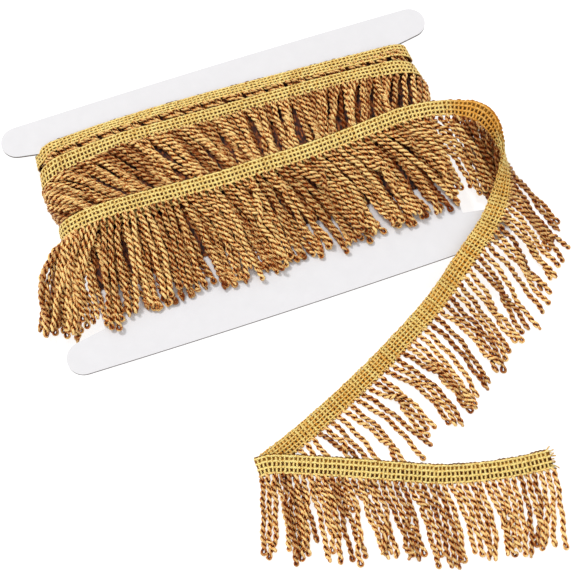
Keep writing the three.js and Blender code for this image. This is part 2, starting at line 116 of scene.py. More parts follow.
HEADER_ROUTE = tuple(Station(*row) for row in (
    ("underLeft", -106.3, 3.0, 3.4, 0.02, -1, 0),
    ("bendLeft", -108.5, 3.0, 11.6, -0.02, -1, 0),
    ("bendUpper", -105.9, 3.4, 20.6, -0.02, -1, 0),
    ("frontLeft", -98, 4.4, 24.7, -0.02, -1, 0),
    ("front1", -84.7, 5.6, 25.0, 0, -1, 0),
    ("front2", -62.5, 5.3, 25.0, 0.01, -1, 0),
    ("front3", -40.4, 4.1, 25.1, 0.02, -1, 0),
    ("front4", -18.2, 3.0, 25.1, 0.01, -1, 0),
    ("front5", 4.7, 3.3, 25.1, 0, -1, 0),
    ("front6", 27.5, 3.2, 25.1, -0.01, -1, 0),
    ("front7", 51, 4.3, 25.1, -0.03, -1, 0),
    ("front8", 74, 6.0, 25.1, -0.03, -1, 0),
    ("front9", 88, 6.9, 25.2, -0.02, -1, 0),
    ("front10", 103.9, 5.2, 25.3, -0.16, -0.98, -0.02),
    ("curve1", 114.6, 2.5, 25.3, -0.3, -0.95, -0.05),
    ("curve2", 121, -0.2, 25.2, -0.42, -0.89, -0.16),
    ("curve3", 126.6, -3.4, 25.0, -0.55, -0.76, -0.35),
    ("curve4", 130.8, -7.9, 24.4, -0.62, -0.48, -0.62),
    ("curve5", 133.3, -13.8, 23.3, -0.46, -0.22, -0.86),
    ("curve6", 134.2, -20.2, 22.3, -0.22, -0.06, -0.97),
    ("curve7", 134.1, -26.6, 21.2, 0.02, 0.02, -1),
    ("curve8", 133.0, -32.6, 20.2, 0.32, 0.02, -0.95),
    ("curve9", 130.9, -38.8, 19.3, 0.6, -0.08, -0.8),
    ("curve10", 127.8, -45.2, 18.7, 0.76, -0.2, -0.62),
    ("curve11", 123.4, -52.2, 18.3, 0.84, -0.4, -0.36),
    ("overCard1", 117.7, -59.2, 18.1, 0.8, -0.58, -0.12),
    ("overCard2", 111.0, -66.0, 18.1, 0.69, -0.72, 0),
    ("overCard3", 102.9, -72.4, 18.2, 0.6, -0.8, 0),
    ("overCard4", 95.6, -77.8, 18.1, 0.55, -0.83, 0),
    ("slope1", 88.0, -83.2, 17.0, 0.51, -0.86, 0),
    ("slope2", 81.2, -87.8, 12.8, 0.49, -0.87, 0),
    ("slope3", 74.8, -91.8, 7.2, 0.47, -0.88, 0),
    ("slope4", 68.0, -95.7, 2.6, 0.46, -0.89, 0),
    ("diagonal1", 60.2, -100.0, 0.9, 0.45, -0.89, 0),
    ("diagonal2", 48.4, -106.5, 0.8, 0.46, -0.89, 0),
    ("diagonal3", 24.0, -119.2, 0.8, 0.42, -0.91, 0),
    ("diagonal4", -10.1, -134.6, 0.8, 0.38, -0.92, 0),
    ("diagonal5", -30.0, -142.4, 0.8, 0.3, -0.95, 0),
    ("foldUnder", -44.6, -147.4, 0.8, 0.06, -1, 0),
    ("foldCrease", -48.6, -148.4, 2.9, 0, -1, 0),
    ("foldOver", -44.4, -148.9, 4.8, -0.08, -1, 0),
    ("run1", -38, -150.6, 4.8, -0.26, -0.97, 0),
    ("run2", -27.6, -154.7, 4.7, -0.35, -0.94, 0),
    ("run3", -8.8, -162.5, 4.6, -0.38, -0.92, 0),
    ("run4", 10.2, -170.7, 4.6, -0.38, -0.92, 0),
    ("run5", 20.0, -174.9, 4.2, -0.38, -0.92, 0),
    ("run6", 29.6, -178.7, 2.7, -0.36, -0.93, 0),
    ("run7", 39.2, -182.2, 1.1, -0.32, -0.95, 0),
    ("run8", 59, -187.7, 0.8, -0.24, -0.97, 0),
    ("run9", 78, -191.4, 0.8, -0.16, -0.99, 0),
    ("cutEnd", 96.4, -193.4, 0.8, -0.12, -0.99, 0),
))

# Share of its width that the header keeps: pulled narrower where it is wound, full where loose
SNUG_WOUND = 0.86
SNUG_FROM, SNUG_TO = "front10", "curve4"

# Painted shade round the curve, darker and more orange: where the header's tone begins to drop, and where
# it rises back
CURVE_SHADE_FROM, CURVE_SHADE_TO = ("front10", "curve2"), ("curve5", "curve7")

WOUND_ROWS = tuple(WoundRow(*row) for row in (
    (-37.0, 17.0, 3.0, 102.8, 0, 0),
    (-35.0, 18.0, 0.8, 103.6, 0, 0),
    (-24.0, 21.0, 0.0, 104.8, 0, 0),
    (-7.0, 22.9, 0.0, 105.6, 0, 0),
    (9.5, 23.2, 0.0, 106.8, 0, 0),
    (11.5, 22.8, 0.0, 108.4, 0, 0),
    (20.0, 22.4, 0.0, 110.2, 1, 1),
    (30.0, 21.6, 0.0, 110.6, 2, 3),
    (39.2, 20.6, 0.0, 110.0, 3, 6),
    (39.8, 21.2, 0.0, 110.6, 3, 6),
    (49.5, 20.4, 0.0, 109.6, 6, 9),
    (50.0, 18.4, 0.0, 108.0, 6, 8),
    (51.2, 18.2, 0.0, 107.8, 4, 6),
    (51.8, 19.2, 0.0, 108.4, 4, 6),
    (57.2, 18.8, 1.2, 107.4, 4, 5),
    (58.0, 17.2, 4.5, 105.4, 4, 5),
))


class EdgeRow(NamedTuple):
    """Where a wound header's plain edge and cord edge lie, by the place along the card."""

    x: float
    plain: float
    cords: float


UPPER_EDGES = tuple(EdgeRow(*row) for row in (
    (-109, 55.3, 47.5),
    (-106, 55.9, 48.5),
    (-103.5, 58.0, 50.0),
    (-98, 59.6, 52.2),
    (-70, 61.0, 54.6),
    (-40, 61.3, 54.8),
    (-5, 60.3, 53.7),
    (45, 58.0, 50.6),
    (98, 55.2, 46.8),
    (103, 54.9, 46.0),
    (109, 54.2, 44.0),
))

MIDDLE_EDGES = tuple(EdgeRow(*row) for row in (
    (-109, 44.5, 33.6),
    (-104, 46.5, 34.8),
    (-95, 48.6, 37.4),
    (-78, 49.9, 39.9),
    (-60, 50.8, 41.7),
    (-42, 50.1, 41.4),
    (-5, 48.7, 39.8),
    (45, 47.4, 38.6),
    (75, 45.7, 37.2),
    (96, 43.9, 34.1),
    (109, 40.2, 30.6),
))

LOWER_EDGES = (EdgeRow(-109, 6.5, -2.5), EdgeRow(109, 6.5, -2.5))


class Side(Enum):
    """Which face of the header carries stitches."""

    FRONT = -1
    BACK = 1


def unit(vectors: np.ndarray) -> np.ndarray:
    """Vectors scaled to length one, along the last axis."""
    return vectors / np.maximum(np.linalg.norm(vectors, axis=-1, keepdims=True), TINY)


def sample(places: np.ndarray, values: np.ndarray, at: np.ndarray) -> np.ndarray:
    """Values of a table at other places, in straight lines between its rows.

    Args:
        places: the table's places, rising.
        values: one row of columns for each place.
        at: places to read, of any shape.

    Returns:
        The shape of at, with the columns as a last axis.
    """
    at = np.asarray(at, float)
    if values.ndim == 1:
        return np.interp(at, places, values)
    return np.stack([np.interp(at, places, column) for column in values.T], axis=-1)


def ease(values: np.ndarray, low: float | np.ndarray, high: float | np.ndarray) -> np.ndarray:
    """Smooth step from 0 at low to 1 at high: 3t^2 - 2t^3."""
    t = np.clip((values - low) / np.maximum(high - low, TINY), 0, 1)
    return t * t * (3 - 2 * t)


def travelled(points: np.ndarray) -> np.ndarray:
    """Distance along each line of points, from its first point, on the axis before last."""
    steps = np.linalg.norm(np.diff(points, axis=-2), axis=-1)
    start = np.zeros(steps.shape[:-1] + (1,))
    return np.concatenate([start, np.cumsum(steps, axis=-1)], axis=-1)


def spline(points: np.ndarray, per_span: int) -> np.ndarray:
    """Centripetal Catmull-Rom curve: a cubic for each span, with knots a root of distance apart.

    Args:
        points: the points it passes through.
        per_span: steps from each point to the next.

    Returns:
        The curve's points, the given ones among them.
    """
    ends = np.vstack([2 * points[0] - points[1], points, 2 * points[-1] - points[-2]])
    before, here, there, after = ends[:-3], ends[1:-2], ends[2:-1], ends[3:]

    def knot(a: np.ndarray, b: np.ndarray) -> np.ndarray:
        """Root of the distance from a to b."""
        return np.sqrt(np.linalg.norm(b - a, axis=1, keepdims=True))

    middle = knot(here, there)
    middle[middle < 1e-4] = 1
    first, last = knot(before, here), knot(there, after)
    first = np.where(first < 1e-4, middle, first)
    last = np.where(last < 1e-4, middle, last)
    leave = (here - before) / first - (there - before) / (first + middle) + (there - here) / middle
    reach = (there - here) / middle - (after - here) / (middle + last) + (after - there) / last
    leave, reach = leave * middle, reach * middle
    t = (np.arange(per_span) / per_span)[None, :, None]
    here, there, leave, reach = (a[:, None, :] for a in (here, there, leave, reach))
    cubic = (
        here
        + leave * t
        + (3 * (there - here) - 2 * leave - reach) * t**2
        + (2 * (here - there) + leave + reach) * t**3
    )
    return np.vstack([cubic.reshape(-1, points.shape[1]), points[-1:]])


@dataclass
class Shape:
    """Points and faces of a piece, with the values that its finish reads from the points.

    groove is 1 on a thread's outside and 0 where it meets the next, and on the band how much
    lighter its painted shade is. tone is the shade of dye, lowered in places for painted shade,
    and fibre is its place along the thread and round it, turned with its fibres.
    """

    points: np.ndarray
    faces: list[np.ndarray]
    groove: np.ndarray
    tone: np.ndarray
    fibre: np.ndarray

    @staticmethod
    def joined(shapes: list["Shape"]) -> "Shape":
        """Several shapes as one."""
        starts = np.cumsum([0] + [len(s.points) for s in shapes[:-1]])
        faces = [face + start for s, start in zip(shapes, starts) for face in s.faces]
        names = ("points", "groove", "tone", "fibre")
        values = {name: np.concatenate([getattr(s, name) for s in shapes]) for name in names}
        return Shape(faces=faces, **values)


def pitched(start: float, end: float, pitch: float) -> np.ndarray:
    """Middles of the whole pitches that fit between two places."""
    return start + (np.arange(int((end - start) / pitch)) + 0.5) * pitch


def carry(
    centres: np.ndarray,
    outward: np.ndarray,
    high: np.ndarray | float,
    wide: np.ndarray | float,
    sides: int,
    tone: np.ndarray | float = 0.5,
    fibre_turn: float = 0.9 / MM,
) -> Shape:
    """Threads: an oval of so many sides carried along many lines at once, closed at both ends.

    A ring's point is centre + high * cos(a) * outward + wide * sin(a) * sideways.

    Args:
        centres: lines x rings x 3.
        outward: the side of the thread that shows, for each ring.
        high: half the oval's size outward.
        wide: half its size sideways.
        sides: corners of the oval.
        tone: shade from 0 to 1, of dye lowered in places for painted shade, one for each line or for each
            ring.
        fibre_turn: how fast the fibres turn about the thread, in radians a metre.

    Returns:
        The threads as one shape.
    """
    lines, rings = centres.shape[:2]
    forward = unit(np.gradient(centres, axis=1))
    outward = unit(outward - (outward * forward).sum(-1, keepdims=True) * forward)
    sideways = np.cross(forward, outward)
    angle = np.arange(sides) * FULL_TURN / sides
    high = np.broadcast_to(high, (lines, rings))[..., None, None]
    wide = np.broadcast_to(wide, (lines, rings))[..., None, None]
    points = (
        centres[:, :, None]
        + high * np.cos(angle)[:, None] * outward[:, :, None]
        + wide * np.sin(angle)[:, None] * sideways[:, :, None]
    )
    index = np.arange(lines * rings * sides).reshape(lines, rings, sides)
    turned = np.roll(index, -1, axis=2)
    walls = np.stack([index[:, :-1], turned[:, :-1], turned[:, 1:], index[:, 1:]], axis=-1)
    along = np.broadcast_to(travelled(centres)[..., None], (lines, rings, sides))
    around = angle + along * fibre_turn
    shape = (lines, rings, sides)
    tone = np.asarray(tone, float)
    toned = np.broadcast_to(tone[..., None] if tone.ndim < 2 else tone, (lines, rings))
    return Shape(
        points.reshape(-1, 3),
        [walls.reshape(-1, 4), index[:, 0, ::-1], index[:, -1]],
        np.broadcast_to(0.5 + 0.5 * np.cos(angle), shape).reshape(-1),
        np.broadcast_to(toned[..., None], shape).reshape(-1),
        np.stack([along / MM, np.cos(around), np.sin(around)], axis=-1).reshape(-1, 3),
    )


@dataclass
class TapeLine:
    """A header's course: its middle, way across, width and tone at stations along it.

    Tone is the shade of its threads.
    """

    middle: np.ndarray
    across: np.ndarray
    width: np.ndarray
    tone: np.ndarray | None = None

    def __post_init__(self) -> None:
        """Works out the way out, which is along x across, and what a skewed way across adds."""
        self.distance = travelled(self.middle)
        if self.tone is None:
            self.tone = np.full(self.distance.shape, 0.6)
        out = np.cross(unit(np.gradient(self.middle, axis=0)), self.across)
        self.stretch = 1 / np.maximum(np.linalg.norm(out, axis=1), 0.5)
        self.out = unit(out)

    @property
    def length(self) -> float:
        """Length along the middle."""
        return float(self.distance[-1])

    def at(self, distance: np.ndarray, over: np.ndarray, above: np.ndarray | float) -> np.ndarray:
        """Points on the tape: middle + over * half its width * across + above * out.

        Args:
            distance: how far along it.
            over: place across it, from -1 at its plain edge to 1 at its cords.
            above: how far out of its back; below 0 is out of its front.

        Returns:
            One point for each distance.
        """
        over, above = np.asarray(over, float)[..., None], np.asarray(above, float)[..., None]
        half = (self.width * self.stretch / 2)[:, None]
        across = sample(self.distance, self.across * half, distance)
        out = sample(self.distance, self.out, distance)
        return sample(self.distance, self.middle, distance) + over * across + above * out

    def outward(self, distance: np.ndarray) -> np.ndarray:
        """Way out of the tape's back at distances along it."""
        return unit(sample(self.distance, self.out, distance))

    def shade(self, distance: np.ndarray, uneven: np.ndarray | float = 0.0) -> np.ndarray:
        """Shade of its threads at distances along it, with an uneven part added."""
        return np.clip(np.interp(distance, self.distance, self.tone) + uneven, 0, 1)

    def threads(
        self,
        side: Side,
        distance: np.ndarray,
        over: np.ndarray,
        height: np.ndarray | float,
        high: np.ndarray | float,
        wide: np.ndarray | float,
        tone: np.ndarray,
        sides: int = 5,
    ) -> Shape:
        """Threads that lie on one face of the tape.

        Args:
            side: which face.
            distance: how far along the tape, lines x rings.
            over: place across it, from -1 at its plain edge to 1 at its cords.
            height: how far out of that face.
            high: half a thread's size outward.
            wide: half its size sideways.
            tone: shade from 0 to 1, of dye lowered in places for painted shade.
            sides: corners of a thread.

        Returns:
            The threads as one shape.
        """
        centres = self.at(distance, over, side.value * height)
        return carry(centres, side.value * self.outward(distance), high, wide, sides, tone)


@dataclass(frozen=True)
class HeaderNet:
    """A header on its course: the band, and how it is stitched.

    Places across the header go from -1 at its plain edge to 1 at its cords. band_profile
    holds those of the band's corners, first on its front and then on its back. The band is dark
    with the eyelets' painted shade, made lighter along its plain edge, from the edge up to a
    given place across. half_width, in millimetres, is for its weave. The scatters and ranges
    are what is uneven from stitch to stitch.
    """

    line: TapeLine
    rng: np.random.Generator
    band_step: float = 1.5 * MM
    chain_step: float = 1.05 * MM

    band_thickness: float = 0.8 * MM
    band_profile: tuple[float, ...] = (-0.9, -0.4, 0.0, 0.45, 0.95, 0.95, 0.45, 0.0, -0.4, -0.9)
    half_width: float = 5.0
    lighter_shade_to: float = -0.35
    lighter_shade: float = 0.25
    eyelet_pitch: float = 2.2 * MM
    stitch_height: float = 0.42 * MM
    size_range: tuple[float, float] = (0.85, 1.15)

    chains: tuple[float, ...] = (-0.84, -0.31, 0.27, 0.85)
    chain_half_width: float = 0.67 * MM
    chain_half_height: float = 0.44 * MM
    chain_swell: float = 0.24
    chain_scatter: float = 0.02

    bar_half_width: float = 0.6 * MM
    bar_half_height: float = 0.38 * MM
    bar_scatter: float = 0.14 * MM
    bar_heights: tuple[float, float] = (0.55, 0.95)
    bar_widths: tuple[float, float] = (0.8, 1.2)
    bar_tones: tuple[float, float] = (-0.25, 0.1)

    edge_loop_place: float = -0.88
    edge_loop_pitch: float = 2.2 * MM
    edge_loop_rise: float = 0.75 * MM
    edge_loop_radius: float = 0.42 * MM
    edge_loop_scatter: float = 0.3 * MM
    edge_loop_rises: tuple[float, float] = (0.6, 1.4)
    edge_loop_tones: tuple[float, float] = (-0.3, 0.0)

    rib_ends: tuple[float, float] = (-1.0, 1.06)
    rib_rings: int = 17
    rib_radius: float = 0.58 * MM
    rib_flatness: float = 1.25
    rib_scatter: float = 0.1 * MM
    rib_tones: tuple[float, float] = (-0.6, -0.1)
    bead_depth: float = 0.26
    bead_pitch: float = 0.38
    first_bead: float = 0.99

    back_chains: tuple[float, ...] = (-0.8, -0.42, -0.04, 0.34, 0.72)
    back_chain_radius: float = 0.48 * MM
    back_chain_step: float = 1.1 * MM
    back_chain_scatter: float = 0.03
    back_chain_wave: float = 0.35
    back_chain_lift: float = 1.15
    back_chain_shade: float = -0.15

    frayed_threads: int = 11
    frayed_radius: float = 0.36 * MM
    frayed_inset: float = 1.5 * MM
    frayed_lift: float = 0.2 * MM
    frayed_lengths: tuple[float, float] = (2.4, 4.6)

    def band(self) -> Shape:
        """The band below the stitches: a flat oblong carried along the header's course."""
        distance = np.linspace(0, self.line.length, round(self.line.length / self.band_step) + 1)
        over = np.array(self.band_profile)
        corners = len(over)
        lift = np.repeat([-0.5, 0.5], corners // 2) * self.band_thickness
        points = self.line.at(distance[:, None] + 0 * over, over, lift)
        index = np.arange(len(distance) * corners).reshape(-1, corners)
        turned = np.roll(index, -1, axis=1)
        walls = np.stack([index[:-1], index[1:], turned[1:], turned[:-1]], axis=-1)
        faces = [walls.reshape(-1, 4), index[0][None], index[-1][None, ::-1]]
        # painted shade in the eyelets, made lighter along the plain edge; the band keeps it as groove
        lighter_shade_mask = np.where(over < self.lighter_shade_to, self.lighter_shade, 0.0)
        along = np.repeat(distance / MM, corners)
        across = np.tile(over * self.half_width, len(distance))
        return Shape(
            points.reshape(-1, 3),
            faces,
            np.tile(lighter_shade_mask, len(distance)),
            np.full(index.size, 0.5),
            np.stack([along, across, 0 * along], axis=-1),
        )

    def chain_lines(self) -> Shape:
        """Lengthwise chains of the front.

        They are ovals whose size is 1 + swell * cos(once round for each eyelet).
        """
        distance = np.linspace(0, self.line.length, round(self.line.length / self.chain_step) + 1)
        places = np.broadcast_to(distance, (len(self.chains), len(distance)))
        uneven = self.chain_scatter * self.rng.standard_normal(places.shape)
        over = np.array(self.chains)[:, None] + uneven
        height = self.stitch_height * self.rng.uniform(*self.size_range, places.shape)
        swell = 1 + self.chain_swell * np.cos(places * FULL_TURN / self.eyelet_pitch)
        high, wide = self.chain_half_height * swell, self.chain_half_width * swell
        return self.line.threads(Side.FRONT, places, over, height, high, wide, self.line.shade(places), 6)

    def bars(self) -> Shape:
        """Crosswise bars from chain to chain, with a dark eyelet left between two bars."""
        places = pitched(0, self.line.length, self.eyelet_pitch)
        each = (len(places), 1)
        shapes = []
        for low, high in zip(self.chains[:-1], self.chains[1:]):
            distance = places[:, None] + self.bar_scatter * self.rng.standard_normal((len(places), 3))
            distance = np.clip(distance, 0, self.line.length)
            over = np.linspace(low, high, 3)[None, :]
            height = self.stitch_height * self.rng.uniform(*self.bar_heights, each)
            wide = self.bar_half_width * self.rng.uniform(*self.bar_widths, each)
            tone = self.line.shade(distance, self.rng.uniform(*self.bar_tones, each))
            bar = self.line.threads(Side.FRONT, distance, over, height, self.bar_half_height, wide, tone)
            shapes.append(bar)
        return Shape.joined(shapes)

    def edge_loops(self) -> Shape:
        """Small arches along the plain edge: half a pitch * cos(a) along, rise * sin(a) out."""
        places = pitched(0, self.line.length, self.edge_loop_pitch)
        each = (len(places), 1)
        turn = np.linspace(0, math.pi, 5)
        rise = self.edge_loop_rise * self.rng.uniform(*self.edge_loop_rises, each)
        distance = places[:, None] - 0.5 * self.edge_loop_pitch * np.cos(turn)
        over = self.edge_loop_place - np.sin(turn) * rise * 2 / HEADER_WIDTH
        height = self.edge_loop_scatter * self.rng.standard_normal(each)
        tone = self.line.shade(distance, self.rng.uniform(*self.edge_loop_tones, each))
        radius = self.edge_loop_radius
        return self.line.threads(Side.BACK, distance, over, height, radius, radius, tone)

    def front(self) -> Shape:
        """All the stitches of the header's front."""
        return Shape.joined([self.chain_lines(), self.bars(), self.edge_loops()])

    def back(self, start: float, end: float) -> Shape:
        """Stitches of the header's back: beaded crosswise ribs, and finer lengthwise threads.

        A rib's radius is 1 + depth * cos(once round for each bead), and a thread's height
        1 + wave * cos(once round for each eyelet).

        Args:
            start: distance along the header at which its back begins to show.
            end: distance at which it stops showing.

        Returns:
            The stitches as one shape.
        """
        places = pitched(start, end, self.eyelet_pitch)
        each = (len(places), 1)
        over = np.linspace(*self.rib_ends, self.rib_rings)[None, :]
        uneven = self.rib_scatter * self.rng.standard_normal((len(places), self.rib_rings))
        distance = places[:, None] + uneven
        beads = 1 + self.bead_depth * np.cos((over + self.first_bead) * FULL_TURN / self.bead_pitch)
        high = self.rib_radius * beads * self.rng.uniform(*self.size_range, each)
        tone = self.line.shade(distance, self.rng.uniform(*self.rib_tones, each))
        wide, height = self.rib_flatness * high, self.stitch_height
        ribs = self.line.threads(Side.BACK, distance, over, height, high, wide, tone)
        steps = np.linspace(start, end, round((end - start) / self.back_chain_step) + 1)
        steps = np.broadcast_to(steps, (len(self.back_chains), len(steps)))
        uneven = self.back_chain_scatter * self.rng.standard_normal(steps.shape)
        over = np.array(self.back_chains)[:, None] + uneven
        wave = 1 + self.back_chain_wave * np.cos(steps * FULL_TURN / self.eyelet_pitch)
        height = self.back_chain_lift * self.stitch_height * wave
        radius, tone = self.back_chain_radius, self.line.shade(steps, self.back_chain_shade)
        chains = self.line.threads(Side.BACK, steps, over, height, radius, radius, tone)
        return Shape.joined([ribs, chains])

    def frayed_ends(self) -> Shape:
        """Loose thread ends that stick out of the cut end, fanning and curling a little.

        A point is root + reach * (s * ahead + fan * across + curl * sin(half a turn) * up).
        """
        count, s = self.frayed_threads, np.linspace(0, 1, 7)[None, :]
        over = np.linspace(-0.95, 0.9, count)[:, None] + 0 * s
        last = np.full((count, 1), self.line.length - self.frayed_inset)
        root = self.line.at(last, over[:, :1], self.frayed_lift)
        ahead = unit(self.line.middle[-1] - self.line.middle[-8])
        across, up = self.line.across[-1], np.array([0.0, 0.0, 1.0])
        each = (count, 1, 1)
        reach = self.rng.uniform(*self.frayed_lengths, each) * MM
        fan = (0.5 * over[:, :1, None] + self.rng.uniform(-0.5, 0.5, each)) * s[..., None]
        curl = self.rng.uniform(-0.25, 0.5, each) * np.sin(s * math.pi)[..., None]
        centres = root + reach * (s[..., None] * ahead + fan * across + curl * up)
        outward = np.broadcast_to(up, centres.shape)
        radius = self.frayed_radius
        return carry(centres, outward, radius, radius, 5, self.rng.uniform(0.2, 0.6, count))


@dataclass(frozen=True)
class CordMake:
    """How a cord is made: two plies of one doubled thread, with a loop at its tip.

    sway and heave are how far it strays sideways and upward, once for each of their lengths,
    and plump the share by which its plies swell. pitches is the range of a cord's pitch as a
    share of the usual one. The loop's bulge and length are in millimetres, first for a closed
    loop and then what an open ring adds, and its plies part over the last bit, parting.
    """

    thickness: float = 3.2 * MM
    pitch: float = 7.2 * MM
    pitches: tuple[float, float] = (0.88, 1.14)
    ring_step: float = 0.66 * MM
    sides: int = 6
    sway: float = 0.32 * MM
    sway_length: float = 15 * MM
    heave: float = 0.2 * MM
    heave_length: float = 11 * MM
    straight_root: float = 5 * MM
    loop_rings: int = 8
    loop_bulge: tuple[float, float] = (0.2, 0.3)
    loop_length: tuple[float, float] = (1.1, 0.7)
    parting: float = 2.4 * MM
    plump: float = 0.07
    plump_length: float = 5.3 * MM
    plump_scatter: float = 0.05
    fibre_turn: float = -1.3 / MM

    @property
    def radius(self) -> float:
        """Half the cord's thickness, which is the height at which it rests."""
        return self.thickness / 2

    def twisted(
        self,
        paths: np.ndarray,
        sideways: np.ndarray,
        tone: np.ndarray,
        ringed: np.ndarray,
        rng: np.random.Generator,
        step: float | None = None,
        sides: int | None = None,
    ) -> Shape:
        """Twisted cords along paths.

        A ply's line is path + r * (cos(a) * side + sin(a) * up), where a falls by a full turn
        for each pitch. At the tip the thread turns back in a loop and returns half a turn on.

        Args:
            paths: cords x stations x 3.
            sideways: the way to each cord's side, cords x stations x 3.
            tone: shade of each cord.
            ringed: 1 for a cord whose loop stays open as a ring, else 0.
            rng: source of the cords' phases.
            step: distance between rings, if not the usual one.
            sides: corners of a ply, if not the usual number.

        Returns:
            The cords as one shape.
        """
        step, sides = step or self.ring_step, sides or self.sides
        distance = travelled(paths)
        rings = max(int(distance[:, -1].max() / step), 6)
        even = distance[:, -1:] * np.linspace(0, 1, rings)
        pairs = list(zip(even, distance, paths, sideways))
        centre = np.stack([sample(d, p, e) for e, d, p, _ in pairs])
        side = np.stack([sample(d, s, e) for e, d, _, s in pairs])
        forward = unit(np.gradient(centre, axis=1))
        side = unit(side - (side * forward).sum(-1, keepdims=True) * forward)
        up = np.cross(forward, side)
        half = self.radius / 2
        count = len(paths)
        wave = rng.uniform(0, FULL_TURN, (count, 3, 1))
        sway = self.sway * np.sin(even * FULL_TURN / self.sway_length + wave[:, 0])
        heave = self.heave * np.sin(even * FULL_TURN / self.heave_length + wave[:, 1])
        free = ease(even, 0, self.straight_root)
        centre = centre + (sway * free)[..., None] * side + (heave * free)[..., None] * up
        start = np.where(ringed > 0, 0.0, rng.uniform(0, FULL_TURN, count))
        pitch = self.pitch * rng.uniform(*self.pitches, (count, 1))
        phase = start[:, None] + (even[:, -1:] - even) * FULL_TURN / pitch
        spoke = np.cos(phase)[..., None] * side + np.sin(phase)[..., None] * up
        turn = np.linspace(0, math.pi, self.loop_rings + 2)[None, 1:-1]
        bulge, length = (
            (closed + added * ringed)[:, None] * MM
            for closed, added in (self.loop_bulge, self.loop_length)
        )
        parted = half + 0.5 * bulge * ease(even, even[:, -1:] - self.parting, even[:, -1:])
        ahead = forward[:, -1:] * np.sin(turn)[..., None]
        aside = spoke[:, -1:] * np.cos(turn)[..., None]
        loop = centre[:, -1:] + aside * (parted[:, -1:] + bulge * np.sin(turn))[..., None]
        loop = loop + ahead * (length + 0 * turn)[..., None]
        away = parted[..., None] * spoke
        thread = np.concatenate([centre + away, loop, (centre - away)[:, ::-1]], axis=1)
        outward = np.concatenate([spoke, aside + ahead, -spoke[:, ::-1]], axis=1)
        along = travelled(thread)
        plump = 1 + self.plump * np.sin(along * FULL_TURN / self.plump_length + wave[:, 2])
        plump = half * (plump + self.plump_scatter * rng.standard_normal(plump.shape))
        return carry(thread, outward, plump, plump, sides, tone, self.fibre_turn)


def pushes(
    points: np.ndarray, others: np.ndarray, thickness: float, apart: np.ndarray | bool
) -> tuple[np.ndarray, np.ndarray]:
    """Push on each point away from the others that are nearer than a cord's thickness.

    Args:
        points: points to push.
        others: points that push them.
        thickness: distance at which the push ends.
        apart: whether two points are of different cords, points x others.

    Returns:
        The sum of the pushes on each point, and how many there are.
    """
    gap = points[:, None] - others[None]
    away = np.sqrt((gap**2).sum(-1)) + TINY
    deep = np.where(apart, np.maximum(thickness - away, 0), 0)
    return (gap * (deep / away)[..., None]).sum(1), (deep > 0).sum(1)[:, None]


@dataclass(frozen=True)
class Settling:
    """How cords are let down until they lie on the ground and on each other.

    In each round the free stations sink a little, stations of different cords that are closer
    than a cord's thickness are pushed apart, bends are smoothed, every length is restored from
    the root on, and nothing stays below the ground. Stations before held don't move.
    """

    radius: float
    held: int = 3
    sink: float = 0.12 * MM
    smooth: float = 0.14

    def settled(
        self, paths: np.ndarray, ground: "Ground", rounds: int, others: np.ndarray | None = None
    ) -> np.ndarray:
        """Lets cords down.

        Args:
            paths: cords x stations x 3.
            ground: what gives the height of the ground at points in plan.
            rounds: number of rounds.
            others: stations of cords that lie there already, as points.

        Returns:
            The cords' new paths.
        """
        placed, held, thickness = paths.copy(), self.held, 2 * self.radius
        cords, stations = placed.shape[:2]
        lengths = np.linalg.norm(np.diff(paths, axis=1), axis=-1)
        owner = np.repeat(np.arange(cords), stations)
        apart = owner[:, None] != owner[None]
        for _ in range(rounds):
            placed[:, held:, 2] -= self.sink
            flat = placed.reshape(-1, 3)
            push, meets = pushes(flat, flat, thickness, apart)
            meets = np.maximum(meets, 1)
            if others is not None:
                more, met = pushes(flat, others, thickness, True)
                push, meets = push + 2 * more, meets + met
            push = (0.5 * push / np.sqrt(meets)).reshape(placed.shape)
            placed[:, held:] += push[:, held:]
            bend = 0.5 * (placed[:, 2:] + placed[:, :-2]) - placed[:, 1:-1]
            placed[:, held:-1] += self.smooth * bend[:, held - 1:]
            for k in range(held, stations):
                step = unit(placed[:, k] - placed[:, k - 1])
                placed[:, k] = placed[:, k - 1] + step * lengths[:, k - 1, None]
            lowest = ground.height(placed[..., 0], placed[..., 1]) + self.radius
            placed[:, held:, 2] = np.maximum(placed[:, held:, 2], lowest[:, held:])
        return placed


class Ground:
    """The level surface that the part lies on."""

    def height(self, x: np.ndarray, y: np.ndarray) -> np.ndarray:
        """Height of the ground at points in plan."""
        return np.zeros(np.shape(x))


